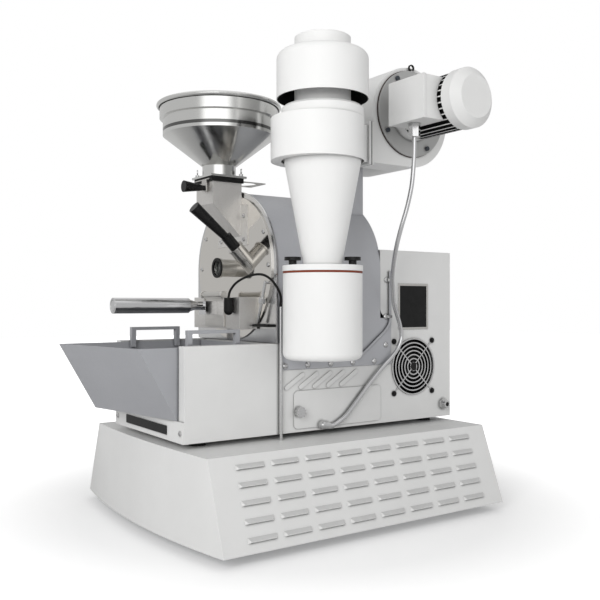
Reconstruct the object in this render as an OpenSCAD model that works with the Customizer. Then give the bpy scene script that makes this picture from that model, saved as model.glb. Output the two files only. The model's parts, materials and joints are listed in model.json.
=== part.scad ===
// Small bench coffee roaster on a louvred base cabinet.
// Millimetres. X = 0 is the middle of the machine and +X is the side that carries the cyclone.
// The front, with the hopper and the cooling tray, faces -Y. Z = 0 is the bench under the feet.

/* [Base cabinet] */
// Width of the base cabinet across its top
base_top_w = 470.6; // [440:0.1:520]
// Width of the base cabinet across its bottom
base_bottom_w = 578.2; // [540:0.1:640]
// Depth of the base cabinet between its corners
base_d = 634.8; // [620:0.1:700]
// Height of the base cabinet
base_h = 147; // [140:1:170]
// How far the front bows out at the top
base_bow_top = 11; // [0:0.5:25]
// How far the front bows out at the bottom
base_bow_bottom = 28; // [5:0.5:40]
// Sheet thickness of the base cabinet
base_wall = 2.5; // [1.5:0.1:4]
// Length of one louvre
louvre_l = 56; // [40:1:60]
// Height of one louvre
louvre_h = 9; // [5:0.5:12]
// How far a louvre stands out
louvre_out = 4.5; // [2:0.5:7]
// Louvres in one row
louvre_cols = 8; // [4:1:8]
// Rows of louvres
louvre_rows = 5; // [3:1:5]
// Distance between louvres along a row
louvre_pitch = 69.1; // [62:0.1:70]
// Height between rows of louvres
louvre_rise = 27.3; // [20:0.1:28]
// Height of a rubber foot
foot_h = 18; // [12:1:25]
// Diameter of a rubber foot
foot_d = 44; // [36:1:60]
// Distance of a foot from the middle plane
foot_x = 190; // [150:1:210]
// Distance of a foot from the middle along the depth
foot_y = 240; // [200:1:250]
// Bore of the threaded hole in a foot
foot_bore = 6.8; // [5:0.1:10]
// Depth of the threaded hole in a foot
foot_bore_depth = 12; // [8:1:14]

/* [Body] */
// Width of the body
body_w = 296.8; // [290:0.1:310]
// Distance of the front of the cooling box from the middle of the base
body_front = 314.3; // [305:0.1:320]
// Distance of the back panel from the middle of the base
body_back = 313; // [300:0.1:317]
// Height of the rubber pads under the body
pad_h = 9.7; // [6:0.1:14]
// Sheet thickness of the body
sheet = 2; // [1.2:0.1:2.5]
// Height of the rear cabinet over the pads
cabinet_h = 345.7; // [335:0.1:355]
// Height of the cooling box over the pads
cool_h = 165.3; // [150:0.1:170]
// Height of the strip under the tray
strip_h = 37.3; // [30:0.1:38]
// Thickness of the hollow side walls of the cooling box
cool_side = 20.9; // [15:0.1:26]
// Distance of the seam behind the cooling box from the middle
seam_front = 123; // [120:0.5:126]

/* [Roasting drum] */
// Height of the drum axis over the pads
drum_rise = 305.3; // [300:0.1:308]
// Radius of the drum
drum_r = 105; // [90:1:108]
// Length of the drum
drum_l = 216; // [180:1:220]
// Wall of the drum
drum_wall = 2; // [1.5:0.1:3]
// Lifting vanes in the drum
drum_vanes = 6; // [3:1:8]
// Diameter of the drum shaft
shaft_d = 20; // [14:1:24]
// Distance of the front end of the arched cover from the middle
arch_front = 128; // [127:0.5:130]
// Distance of the back end of the arched cover from the middle
arch_back = 118; // [110:1:122]
// Radius of the round front plate
plate_r = 140; // [130:1:145]
// Thickness of the front plate and of the ring behind it
plate_t = 3; // [2:0.5:4]

/* [Hopper and chute] */
// Distance of the hopper axis in front of the middle
hopper_y = 165; // [160:1:170]
// Radius of the hopper rim
hopper_rim_r = 120.5; // [100:0.5:130]
// Radius of the upper band of the hopper
hopper_band_r = 114.5; // [96:0.5:120]
// Radius of the lower band of the hopper
hopper_body_r = 108.3; // [90:0.1:112]
// Radius of the hopper neck
hopper_neck_r = 32.5; // [28:0.5:33]
// Height of the hopper rim over the chute
hopper_h = 141; // [120:1:160]
// Half width of the bean chute
chute_half = 33; // [30:0.5:40]
// How far the chute stands out from the front plate
chute_out = 63; // [55:1:70]
// Height of the chute top over the pads
chute_rise = 470.3; // [460:0.1:480]
// Travel of the feed gate
gate_travel = 55; // [40:1:58]

/* [Sampler] */
// Distance of the sampler from the middle plane
sampler_x = 60; // [50:1:62]
// Height of the sampler's foot over the plate's middle
sampler_rise = 7; // [0:1:10]
// Angle of the sampler over the level
sampler_turn = 45; // [42:0.1:60]
// Diameter of the guide barrel
barrel_d = 29; // [24:0.5:30]
// Length of the guide barrel
barrel_l = 43; // [38:1:56]
// Diameter of the scoop
scoop_d = 16; // [12:0.5:18]
// How deep the scoop reaches behind the plate's face
scoop_l = 60; // [40:1:64]
// Length of the sampler's handle
sampler_l = 97; // [80:1:110]
// Diameter of the handle at the hub
sampler_d1 = 14; // [9:0.5:16]
// Diameter of the handle's free end
sampler_d2 = 23; // [18:0.5:26]
// How much flatter the handle lies than the barrel
handle_bend = 7; // [0:1:30]

/* [Discharge door] */
// Half width of the discharge box
door_box_half = 90; // [70:1:100]
// How far the discharge box stands out
door_box_out = 38; // [30:1:45]
// Height of the discharge box
door_box_h = 60; // [50:1:62]
// Diameter of the steel door handle
handle_d = 28.5; // [22:0.5:34]
// Length of the steel door handle
handle_l = 149; // [110:1:160]
// Diameter of the door hinge pin
hinge_d = 6; // [4:0.5:8]

/* [Cooling tray] */
// Height of the tray
tray_h = 125; // [100:1:130]
// Sheet thickness of the tray
tray_wall = 1.5; // [1:0.1:2.5]
// How far the near corner of the tray lip leans forward
tray_lean = 71; // [50:1:90]
// How far the near lower corner stands out of the cooling box
tray_near = 2.2; // [1:0.1:6]
// How much further the far corner stands out than the near one
tray_skew = 50; // [30:1:60]
// Holes across the tray floor
tray_holes_x = 13; // [6:1:14]
// Holes along the tray floor
tray_holes_y = 11; // [5:1:12]

/* [Cyclone] */
// Distance of the cyclone axis from the middle plane
cyclone_x = 240; // [236:1:250]
// Distance of the cyclone axis in front of the middle
cyclone_y = 92; // [85:1:96]
// Radius of the cyclone body
cyclone_r = 72.5; // [68:0.5:76]
// Height of the top of the cyclone body
cyclone_top = 755.7; // [750:0.1:760]
// Height at which the cone starts
cone_top = 687; // [670:0.5:690]
// Height at which the cone ends on the can lid
cone_bottom = 479; // [478.5:0.1:482]
// Radius of the lower end of the cone
cone_r = 33.5; // [28:0.5:38]
// Radius of the outlet pipe
outlet_r = 49.45; // [45:0.05:55]
// Height of the outlet pipe's end
outlet_top = 877; // [865:1:890]
// Radius of the outlet hood
hood_r = 80.85; // [76:0.05:84]
// Height of the hood's open lower edge
hood_bottom = 770; // [765:1:775]
// Height of the hood's top
hood_top = 852; // [840:1:860]
// Radius of the chaff can
can_r = 69.65; // [66:0.05:70]
// Height of the chaff can
can_h = 150; // [120:1:155]
// Sheet thickness of the cyclone
cyclone_wall = 2; // [1.5:0.1:3]

/* [Blower and motor] */
// Distance of the blower axis behind the middle
blower_y = 182; // [178:1:186]
// Height of the blower axis
blower_z = 795; // [790:1:800]
// Distance of the blower's motor face from the middle plane
blower_face = 166; // [164:1:170]
// Depth of the blower housing
blower_depth = 151; // [145:1:151]
// Radius of the blower housing
blower_r = 100; // [98:1:104]
// Radius of the motor plate
motor_plate_r = 86; // [82:1:88]
// Radius of the impeller
impeller_r = 68; // [55:1:72]
// Blades of the impeller
impeller_blades = 12; // [8:1:16]
// Outer radius of the motor's fins
motor_r = 54; // [50:0.5:58]
// Length of the motor between the plate and the cap
motor_l = 150; // [140:1:160]
// Fins round the motor
motor_fins = 30; // [20:1:36]
// Length of the motor cap
motor_cap_l = 28; // [22:1:36]

/* [Cabinet fan and left panel] */
// Distance of the cabinet fan axis behind the middle
fan_y = 206.5; // [204:0.5:214]
// Height of the cabinet fan axis over the pads
fan_rise = 108.8; // [100:0.1:114]
// Side of the square fan frame
fan_size = 120; // [110:1:120]
// Diameter of the fan opening
fan_hole = 113; // [100:1:114]
// Depth of the fan frame
fan_depth = 38; // [25:1:40]
// Bore of the mains cable gland
gland_bore = 9; // [6:0.5:12]

/* [Hidden] */
$fn = 64;
fine_fn = 32;

// Clearances and the overrun of cuts
over = 1;
gap = 0.3;
run_gap = 0.05;

// Heights and faces that several pieces share
base_top = foot_h + base_h;
floor_z = base_top + pad_h;
half_w = body_w / 2;
cool_top = floor_z + cool_h;
strip_top = floor_z + strip_h;
cabinet_top = floor_z + cabinet_h;
drum_z = floor_z + drum_rise;
cover_out = 0.8;
cover_r = half_w + cover_out;
cover_low = floor_z + 116.3;
cover_step_z = floor_z + 209.3;
cover_step_y = 146.5;
ring_out = 3.1;
ring_r = half_w + ring_out;
ring_back = -arch_front;
ring_face = ring_back - plate_t;
plate_face = ring_face - plate_t;
plate_z = drum_z + 2;
light_grey = "#d2d2d0";
side_grey = "#96989c";
steel = "#c8c6c2";
powder = "#e9e9e7";
black = "#1c1c1c";
red = "#7a2c22";

// A box between two corners
module block(x0, x1, y0, y1, z0, z1) {
  translate([x0, y0, z0]) cube([x1 - x0, y1 - y0, z1 - z0]);
}

// A cylinder along X, Y or Z between two places
module rod_x(d, x0, x1, y, z) {
  translate([x0, y, z]) rotate([0, 90, 0]) cylinder(d = d, h = x1 - x0);
}

module rod_y(d, y0, y1, x, z) {
  translate([x, y0, z]) rotate([-90, 0, 0]) cylinder(d = d, h = y1 - y0);
}

module rod_z(d, z0, z1, x, y) {
  translate([x, y, z0]) cylinder(d = d, h = z1 - z0);
}

// A straight bar between two points, which may taper
module bar(a, b, d1, d2) {
  v = b - a;
  translate(a) rotate([0, acos(v.z / norm(v)), atan2(v.y, v.x)])
    cylinder(d1 = d1, d2 = d2, h = norm(v));
}

// A flat outline in Y and Z, pushed along X
module slab_x(x0, x1) {
  translate([x0, 0, 0]) rotate([90, 0, 90]) linear_extrude(x1 - x0) children();
}

// A flat outline in X and Z, pushed along Y
module slab_y(y0, y1) {
  translate([0, y1, 0]) rotate([90, 0, 0]) linear_extrude(y1 - y0) children();
}

// An arched block round the drum axis with straight legs
module arch(r, y0, y1, z_low) {
  intersection() {
    rod_y(2 * r, y0, y1, 0, drum_z);
    block(-r - over, r + over, y0 - over, y1 + over, drum_z, drum_z + r + over);
  }
  block(-r, r, y0, y1, z_low, drum_z);
}

// A rounded rectangle between two corners
module round_rect(a0, a1, b0, b1, r) {
  translate([a0 + r, b0]) square([a1 - a0 - 2 * r, b1 - b0]);
  translate([a0, b0 + r]) square([a1 - a0, b1 - b0 - 2 * r]);
  for (a = [a0 + r, a1 - r], b = [b0 + r, b1 - r])
    translate([a, b]) circle(r);
}

// A smooth route through hand-chosen points
function spline(p0, p1, p2, p3, t) = ((2 * p1) + (p2 - p0) * t + (2 * p0 - 5 * p1 + 4 * p2 - p3) * t * t
  + (3 * p1 - p0 - 3 * p2 + p3) * t * t * t) / 2;
function route(pts, steps) = [
  for (i = [0 : len(pts) - 2], k = [0 : steps - 1])
    spline(pts[max(i - 1, 0)], pts[i], pts[i + 1], pts[min(i + 2, len(pts) - 1)], k / steps),
  pts[len(pts) - 1]];
function unit(v) = v / norm(v);
function ring_points(c, dir, side, r, sides) = [
  for (j = [0 : sides - 1])
    c + r * cos(360 * j / sides) * unit(cross(dir, side)) + r * sin(360 * j / sides)
    * unit(cross(dir, cross(dir, side)))];

// A tube swept along a route as one closed skin
module swept(pts, d, steps, sides, side) {
  path = route(pts, steps);
  n = len(path);
  points = [for (i = [0 : n - 1])
    each ring_points(path[i], path[min(i + 1, n - 1)] - path[max(i - 1, 0)], side, d / 2, sides)];
  faces = concat(
    [[for (j = [0 : sides - 1]) j]],
    [for (i = [0 : n - 2], j = [0 : sides - 1])
      each [[i * sides + j, (i + 1) * sides + j, (i + 1) * sides + (j + 1) % sides],
        [i * sides + j, (i + 1) * sides + (j + 1) % sides, i * sides + (j + 1) % sides]]],
    [[for (j = [sides - 1 : -1 : 0]) (n - 1) * sides + j]]);
  polyhedron(points, faces);
}

// Rubber feet with a threaded hole each, and the pads between base and body
pad_d = 30;
pad_x = 110;
pad_y = 270;
foot_taper = 6;
module rubber_feet() {
  color(black) {
    for (x = [-foot_x, foot_x], y = [-foot_y, foot_y])
      translate([x, y, 0]) difference() {
        cylinder(d1 = foot_d - foot_taper, d2 = foot_d, h = foot_h);
        translate([0, 0, -over]) cylinder(d = foot_bore, h = foot_bore_depth + over);
      }
    for (x = [-pad_x, pad_x], y = [-pad_y, pad_y])
      rod_z(pad_d, base_top, floor_z, x, y);
  }
}

// Outline of the base cabinet: straight sides and back, a front bowed like a shallow parabola
bow_steps = 20;
module base_outline(w, d, bow) {
  polygon(concat(
    [[w / 2, d / 2], [-w / 2, d / 2]],
    [for (i = [0 : bow_steps])
      let (t = 2 * i / bow_steps - 1)
      [t * w / 2, -d / 2 - bow * (1 - t * t)]]));
}

// The leaning block of the cabinet, drawn in by a wall; width and bow follow the height
function base_w(z) = base_bottom_w + (base_top_w - base_bottom_w) * (z - foot_h) / base_h;
function base_bow(z) = base_bow_bottom + (base_bow_top - base_bow_bottom) * (z - foot_h) / base_h;
module base_block(wall, z0, z1) {
  hull()
    for (z = [z0, z1 - base_skin])
      translate([0, 0, z]) linear_extrude(base_skin)
        base_outline(base_w(z) - 2 * wall, base_d - 2 * wall, base_bow(z));
}

// Louvred base cabinet
base_skin = 0.2;
louvre_first_y = 241.8;
louvre_first_z = 20;
louvre_lip = 1.5;
louvre_slot = 3;
base_slope = atan((base_bottom_w - base_top_w) / 2 / base_h);
// Places a louvre on the leaning right-hand wall, with X pointing straight out of the wall
module at_louvre(col, row) {
  z = louvre_first_z + row * louvre_rise;
  translate([base_bottom_w / 2 - z * tan(base_slope), louvre_first_y - col * louvre_pitch, foot_h + z])
    rotate([0, -base_slope, 0]) children();
}
module base_cabinet() {
  color(light_grey) {
    difference() {
      base_block(0, foot_h, base_top);
      base_block(base_wall, foot_h - over, base_top - base_wall);
      for (side = [0, 1], col = [0 : louvre_cols - 1], row = [0 : louvre_rows - 1])
        mirror([side, 0, 0]) at_louvre(col, row)
          translate([-2 * base_wall, -louvre_l / 2 + louvre_out, -louvre_h / 2 + louvre_lip])
            cube([3 * base_wall, louvre_l - 2 * louvre_out, louvre_slot]);
    }
    for (side = [0, 1], col = [0 : louvre_cols - 1], row = [0 : louvre_rows - 1])
      mirror([side, 0, 0]) at_louvre(col, row) louvre_hood();
  }
}
// One pressed hood: a thin sloping lip with closed, mitred ends that opens downward
module louvre_hood() {
  difference() {
    rotate([90, 0, 0]) translate([0, 0, -louvre_l / 2]) linear_extrude(louvre_l)
      polygon([[-louvre_lip, louvre_h / 2], [-louvre_lip, -louvre_h / 2],
        [louvre_out - louvre_lip, -louvre_h / 2], [louvre_out, -louvre_h / 2 + louvre_lip],
        [0, louvre_h / 2]]);
    rotate([90, 0, 0]) translate([0, 0, -louvre_l / 2 + louvre_out])
      linear_extrude(louvre_l - 2 * louvre_out) polygon([[-2 * louvre_lip, louvre_h / 2 - louvre_lip],
        [-2 * louvre_lip, -louvre_h / 2 - over],
        [louvre_out - louvre_lip, -louvre_h / 2 - over],
        [louvre_out - louvre_lip, -louvre_h / 2 + louvre_lip]]);
    for (end = [-1, 1])
      translate([0, end * louvre_l / 2, 0]) rotate([0, 0, -end * 45])
        block(0, 2 * louvre_out, end > 0 ? 0 : -louvre_l / 4, end > 0 ? louvre_l / 4 : 0,
          -louvre_h, louvre_h);
  }
}

// Bottom pan of the base cabinet with its air holes; the feet screw up against it
pan_hole_d = 60;
pan_hole_x = 80;
pan_hole_y = 140;
pan_lip = 20;
module base_pan() {
  color(steel) difference() {
    union() {
      base_block(base_wall + gap, foot_h, foot_h + base_wall);
      for (x = [-foot_x, foot_x])
        block(x - base_wall, x + base_wall, -foot_y - foot_d, foot_y + foot_d, foot_h + base_wall / 2,
          foot_h + pan_lip);
    }
    for (x = [-pan_hole_x, pan_hole_x], y = [-pan_hole_y, 0, pan_hole_y])
      rod_z(pan_hole_d, foot_h - over, foot_h + base_wall + over, x, y);
  }
}

// Inner frame: floor, arched bulkhead behind the drum and the bearing wall that carries the drive
bulk_y = 106;
bulk_t = 3;
bear_y = 164;
bear_half = 62;
bearing_d = 42;
bearing_w = 12;
frame_floor = 2.5;
bear_top = drum_z + 34;
brace_h = 30;
module chassis_frame() {
  color(steel) difference() {
    union() {
      block(-half_w + sheet + gap, half_w - sheet - gap, -seam_front + sheet + gap,
        body_back - sheet - gap, floor_z, floor_z + frame_floor);
      arch(half_w - sheet - gap, bulk_y, bulk_y + bulk_t, floor_z);
      block(-bear_half, bear_half, bear_y, bear_y + bulk_t, floor_z, bear_top);
      for (x = [-bear_half, bear_half - bulk_t])
        block(x, x + bulk_t, bulk_y + bulk_t / 2, bear_y + bulk_t / 2, floor_z, floor_z + brace_h);
      for (y = [bulk_y - bearing_w / 2, bear_y - bearing_w / 2])
        rod_y(bearing_d + bearing_w, y + bulk_t / 2, y + bearing_w + bulk_t / 2, 0, drum_z);
    }
    for (y = [bulk_y, bear_y])
      rod_y(bearing_d, y - bearing_w, y + 2 * bearing_w, 0, drum_z);
    difference() {
      block(duct_x0 - gap, duct_x1 + gap, duct_y0, duct_y1 + gap, drum_z, drum_z + half_w);
      rod_y(2 * chamber_r, bulk_y - over, bulk_y + bulk_t + over, 0, drum_z);
    }
  }
}

// Cooling box: a folded sheet trough with hollow side walls, an air space under the tray and a duct hole
box_back = 125;
plenum_hole = 110;
plenum_y = 220;
module cooling_box() {
  color(light_grey) difference() {
    block(-half_w, half_w, -body_front, -seam_front - gap, floor_z, cool_top);
    block(-half_w + cool_side, half_w - cool_side, -body_front - over, -box_back - sheet, strip_top,
      cool_top + over);
    block(-half_w + sheet, half_w - sheet, -body_front + sheet, -box_back - sheet, floor_z + sheet,
      strip_top - sheet);
    for (side = [0, 1])
      mirror([side, 0, 0])
        block(half_w - cool_side + sheet, half_w - sheet, -body_front + sheet, -box_back - sheet,
          strip_top - 2 * sheet, cool_top - sheet);
    rod_z(plenum_hole, floor_z - over, floor_z + 2 * sheet, 0, -plenum_y);
    block(-half_w + 2 * cool_side, half_w - 2 * cool_side, -body_front + 2 * cool_side,
      -box_back - 2 * cool_side, strip_top - 2 * sheet, strip_top + over);
  }
}

// Front strip under the tray, with a bare raised plate where a name would be
name_w = 178;
name_h = 15.5;
name_x = -3;
name_t = 1.5;
name_rise = 9.3;
module front_strip() {
  color(light_grey) block(-half_w, half_w, -body_front - sheet, -body_front, floor_z, strip_top - gap);
  color(black)
    block(name_x - name_w / 2, name_x + name_w / 2, -body_front - sheet - name_t, -body_front - sheet,
      floor_z + name_rise, floor_z + name_rise + name_h);
}

// Side sheet of the body: a low band, the cabinet side and a tab with one rounded corner
tab_r = 22;
slot_count = 5;
slot_pitch = 31.7;
slot_y = -89.2;
slot_rise = 94.8;
slot_l = 51;
slot_w = 8;
slot_out = 1.6;
slot_turn = 32;
module side_outline() {
  union() {
    translate([-seam_front + gap, floor_z])
      square([body_back + seam_front - gap, cover_low - gap - floor_z]);
    translate([cover_step_y + gap, floor_z]) square([body_back - cover_step_y - gap, cabinet_h]);
    difference() {
      translate([arch_back + gap, cover_step_z + gap])
        square([cover_step_y - arch_back, cabinet_top - cover_step_z - gap]);
      translate([arch_back + gap - over, cover_step_z + gap - over]) difference() {
        square([tab_r + over, tab_r + over]);
        translate([tab_r + over, tab_r + over]) circle(tab_r);
      }
    }
  }
}
// The five diagonal pressed bars
module pressed_bars(x0, x1) {
  for (i = [0 : slot_count - 1])
    translate([0, slot_y + i * slot_pitch, floor_z + slot_rise]) rotate([slot_turn, 0, 0])
      slab_x(x0, x1) round_rect(-slot_l / 2, slot_l / 2, -slot_w / 2, slot_w / 2, slot_w / 2 - run_gap);
}
hatch_y0 = -82;
hatch_y1 = 118;
hatch_rise0 = 6.3;
hatch_rise1 = 76.3;
hatch_r = 9;
hatch_t = 1.6;
hatch_lap = 12;
fan_z = floor_z + fan_rise;
grommet_y = -30;
grommet_rise = 10.3;
grommet_hole = 12;
gland_y = 290.4;
gland_rise = 26.5;
gland_d = 16;
module side_panel_right() {
  color(light_grey) difference() {
    union() {
      slab_x(half_w - sheet, half_w) side_outline();
      pressed_bars(half_w - sheet / 2, half_w + slot_out);
    }
    rod_x(fan_hole, half_w - sheet - over, half_w + over, fan_y, fan_z);
    rod_x(gland_d, half_w - sheet - over, half_w + over, gland_y, floor_z + gland_rise);
    rod_x(screw_shank, half_w - sheet - over, half_w + over, hatch_y0 + hatch_screw_in,
      floor_z + hatch_screw_rise);
    slab_x(half_w - sheet - over, half_w + over)
      round_rect(grommet_y + hatch_lap, hatch_y1 - hatch_lap, floor_z + hatch_rise0 + hatch_lap,
        floor_z + hatch_rise1 - hatch_lap, hatch_r / 2);
  }
}

// The left-hand side carries the pressed bars too, and the hole behind the control panel
control_y = 232;
control_rise = 216;
control_w = 112;
control_h = 196;
control_t = 6;
control_lap = 16;
module side_panel_left() {
  color(light_grey) difference() {
    mirror([1, 0, 0]) union() {
      slab_x(half_w - sheet, half_w) side_outline();
      pressed_bars(half_w - sheet / 2, half_w + slot_out);
    }
    block(-half_w - over, -half_w + sheet + over, control_y - control_w / 2 + control_lap,
      control_y + control_w / 2 - control_lap, floor_z + control_rise - control_h / 2 + control_lap,
      floor_z + control_rise + control_h / 2 - control_lap);
  }
}

// Back panel and top of the rear cabinet, folded from one sheet, with a field of air slots
vent_rows = 6;
vent_l = 90;
vent_h = 5;
vent_pitch = 14;
vent_rise = 60;
module rear_cover() {
  color(light_grey) difference() {
    union() {
      block(-half_w + sheet + gap, half_w - sheet - gap, body_back - sheet, body_back, floor_z, cabinet_top);
      block(-half_w + sheet + gap, half_w - sheet - gap, arch_back + gap, body_back - sheet / 2,
        cabinet_top - sheet, cabinet_top);
    }
    for (x = [-vent_l - vent_h, vent_h], i = [0 : vent_rows - 1])
      block(x, x + vent_l, body_back - 2 * sheet, body_back + over, floor_z + vent_rise + i * vent_pitch,
        floor_z + vent_rise + i * vent_pitch + vent_h);
  }
}

// Service hatch on the right-hand side
hatch_screw_in = 0;
hatch_screw_rise = 38.3;
module service_hatch() {
  color(light_grey) difference() {
    slab_x(half_w, half_w + hatch_t)
      round_rect(hatch_y0 - hatch_r, hatch_y1, floor_z + hatch_rise0, floor_z + hatch_rise1, hatch_r);
    rod_x(screw_shank + 2 * run_gap, half_w - over, half_w + hatch_t + over, hatch_y0 + hatch_screw_in,
      floor_z + hatch_screw_rise);
    rod_x(grommet_hole, half_w - over, half_w + hatch_t + over, grommet_y, floor_z + grommet_rise);
  }
}

// Thumb screw of the hatch
screw_shank = 5;
thumb_d = 20;
thumb_l = 9;
thumb_neck_d = 12;
thumb_neck_l = 3;
thumb_shank_l = 12;
thumb_grooves = 10;
thumb_groove_d = 3;
module hatch_screw() {
  y = hatch_y0 + hatch_screw_in;
  z = floor_z + hatch_screw_rise;
  x = half_w + hatch_t + gap;
  color(steel) difference() {
    union() {
      rod_x(thumb_neck_d, x, x + thumb_neck_l, y, z);
      rod_x(thumb_d, x + thumb_neck_l, x + thumb_neck_l + thumb_l, y, z);
      rod_x(screw_shank, x - thumb_shank_l, x + over, y, z);
    }
    for (i = [0 : thumb_grooves - 1])
      rod_x(thumb_groove_d, x + thumb_neck_l - over, x + thumb_neck_l + thumb_l + over,
        y + thumb_d / 2 * cos(360 * i / thumb_grooves), z + thumb_d / 2 * sin(360 * i / thumb_grooves));
  }
}

// Axial fan behind the right-hand panel: frame with struts, guard and rotor
fan_hub_d = 44;
fan_strut = 5;
fan_strut_t = 4;
fan_bore = fan_hole - 1;
fan_pin_d = 5;
fan_pitch = 105;
fan_back = half_w - sheet - gap - fan_depth;
fan_screw_d = 4.3;
module fan_frame() {
  color(black) difference() {
    union() {
      difference() {
        block(fan_back, half_w - sheet - gap, fan_y - fan_size / 2, fan_y + fan_size / 2,
          fan_z - fan_size / 2, fan_z + fan_size / 2);
        rod_x(fan_bore, fan_back - over, half_w + over, fan_y, fan_z);
      }
      rod_x(fan_hub_d, fan_back, fan_back + fan_strut_t, fan_y, fan_z);
      for (a = [0 : 90 : 270])
        translate([0, fan_y, fan_z]) rotate([a, 0, 0])
          block(fan_back, fan_back + fan_strut_t, 0, fan_bore / 2 + over, -fan_strut / 2, fan_strut / 2);
      rod_x(fan_pin_d, fan_back + fan_strut_t / 2, fan_back + fan_depth / 2, fan_y, fan_z);
    }
    for (y = [-fan_pitch / 2, fan_pitch / 2], z = [-fan_pitch / 2, fan_pitch / 2])
      rod_x(fan_screw_d, fan_back - over, half_w + over, fan_y + y, fan_z + z);
  }
}

// Wire guard over the fan opening, pressed flat where the wires cross
wire_d = 2.4;
guard_rings = 7;
guard_pitch = 8.1;
guard_eye_d = 11;
guard_cap_r = 7;
module fan_grille() {
  x = half_w + wire_d;
  color(black) {
    for (i = [1 : guard_rings])
      difference() {
        rod_x(2 * i * guard_pitch + wire_d, half_w, x, fan_y, fan_z);
        rod_x(2 * i * guard_pitch - wire_d, half_w - over, x + over, fan_y, fan_z);
      }
    rod_x(2 * guard_cap_r, half_w, x, fan_y, fan_z);
    for (a = [45 : 90 : 315])
      translate([0, fan_y, fan_z]) rotate([a, 0, 0])
        block(half_w, half_w + wire_d / 2, 0, fan_pitch / sqrt(2), -wire_d / 2, wire_d / 2);
    for (y = [-fan_pitch / 2, fan_pitch / 2], z = [-fan_pitch / 2, fan_pitch / 2])
      rod_x(guard_eye_d, half_w, x, fan_y + y, fan_z + z);
  }
}

// Fan rotor: a cup hub on the frame's pin and pitched blades
fan_blades = 7;
blade_t = 2;
blade_turn = 35;
blade_gap = 2;
hub_wall = 3;
module fan_rotor() {
  x0 = fan_back + fan_strut_t + gap;
  x1 = half_w - sheet - hub_wall;
  color(black) difference() {
    union() {
      rod_x(fan_hub_d, x0, x1, fan_y, fan_z);
      for (i = [0 : fan_blades - 1])
        translate([(x0 + x1) / 2, fan_y, fan_z]) rotate([360 * i / fan_blades, 0, 0])
          rotate([0, 0, blade_turn]) block(-fan_depth / 3, fan_depth / 3, -blade_t / 2, blade_t / 2,
            fan_hub_d / 2 - hub_wall, fan_bore / 2 - blade_gap);
    }
    rod_x(fan_pin_d + 2 * run_gap, x0 - over, fan_back + fan_depth / 2 + gap, fan_y, fan_z);
    difference() {
      rod_x(fan_bore + 2 * fan_hub_d, x0 - over, x1 + over, fan_y, fan_z);
      rod_x(fan_bore - 2 * blade_gap, x0 - 2 * over, x1 + 2 * over, fan_y, fan_z);
    }
  }
}

// Bare dark plate in a light frame above the fan
rating_y0 = 166;
rating_y1 = 248;
rating_rise0 = 185.3;
rating_rise1 = 278.3;
rating_t = 1;
rating_lip = 4;
module rating_plate() {
  color(powder) difference() {
    block(half_w, half_w + rating_t, rating_y0, rating_y1, floor_z + rating_rise0, floor_z + rating_rise1);
    block(half_w - over, half_w + rating_t + over, rating_y0 + rating_lip, rating_y1 - rating_lip,
      floor_z + rating_rise0 + rating_lip, floor_z + rating_rise1 - rating_lip);
  }
  color(black) block(half_w, half_w + rating_t / 2, rating_y0 + rating_lip, rating_y1 - rating_lip,
    floor_z + rating_rise0 + rating_lip, floor_z + rating_rise1 - rating_lip);
}

// Cable entries: mains gland, conduit grommet, motor gland and the rubber boot of the probe
gland_hex = 24;
gland_nut = 6;
gland_dome = 9;
box_gland_x = 248;
box_gland_y = 118;
box_gland_l = 26;
box_gland_hex = 23;
boot_x = 65;
boot_y = 181;
boot_rise = 225;
boot_d = 17;
boot_h = 24;
conduit_d = 8.5;
elbow = [half_w + hatch_t + 6.5, grommet_y, floor_z + grommet_rise];
elbow_dir = unit([0, 8, -1.4]);
elbow_d = 13;
elbow_l = 16;
cable_d = 4.5;
module cable_glands() {
  color(steel) {
    translate([half_w, gland_y, floor_z + gland_rise]) rotate([0, 90, 0]) difference() {
      union() {
        cylinder(d = gland_hex, h = gland_nut, $fn = 6);
        translate([0, 0, gland_nut])
          cylinder(d1 = gland_d + gland_nut, d2 = gland_bore + gland_nut, h = gland_dome);
        translate([0, 0, -sheet - gland_nut])
          cylinder(d = gland_d - 2 * run_gap, h = sheet + gland_nut + over);
      }
      translate([0, 0, -sheet - gland_nut - over])
        cylinder(d = gland_bore, h = 2 * gland_nut + sheet + gland_dome + 2 * over);
    }
    difference() {
      union() {
        rod_x(elbow_d + hatch_t, half_w + hatch_t, elbow.x, elbow.y, elbow.z);
        translate(elbow) sphere(d = elbow_d + hatch_t);
        bar(elbow, elbow + elbow_l * elbow_dir, elbow_d, elbow_d);
      }
      bar(elbow + elbow_l / 4 * elbow_dir, elbow + 2 * elbow_l * elbow_dir, conduit_d + gap, conduit_d + gap);
    }
    difference() {
      translate([box_gland_x, box_gland_y, term_z0 - box_gland_l])
        cylinder(d = box_gland_hex, h = box_gland_l, $fn = 6);
      rod_z(conduit_d + gap, term_z0 - box_gland_l - over, term_z0 - box_gland_l / 2, box_gland_x,
        box_gland_y);
    }
  }
  color(black) difference() {
    union() {
      rod_z(boot_d, floor_z + boot_rise, floor_z + boot_rise + boot_h, boot_x, -boot_y);
      translate([boot_x, -boot_y, floor_z + boot_rise]) sphere(d = boot_d);
      rod_y(boot_d / 2, -boot_y, plate_face - door_box_out, boot_x, floor_z + boot_rise);
    }
    rod_z(cable_d + 2 * gap, floor_z + boot_rise + boot_h / 2, floor_z + boot_rise + boot_h + over, boot_x,
      -boot_y);
  }
}

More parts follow.
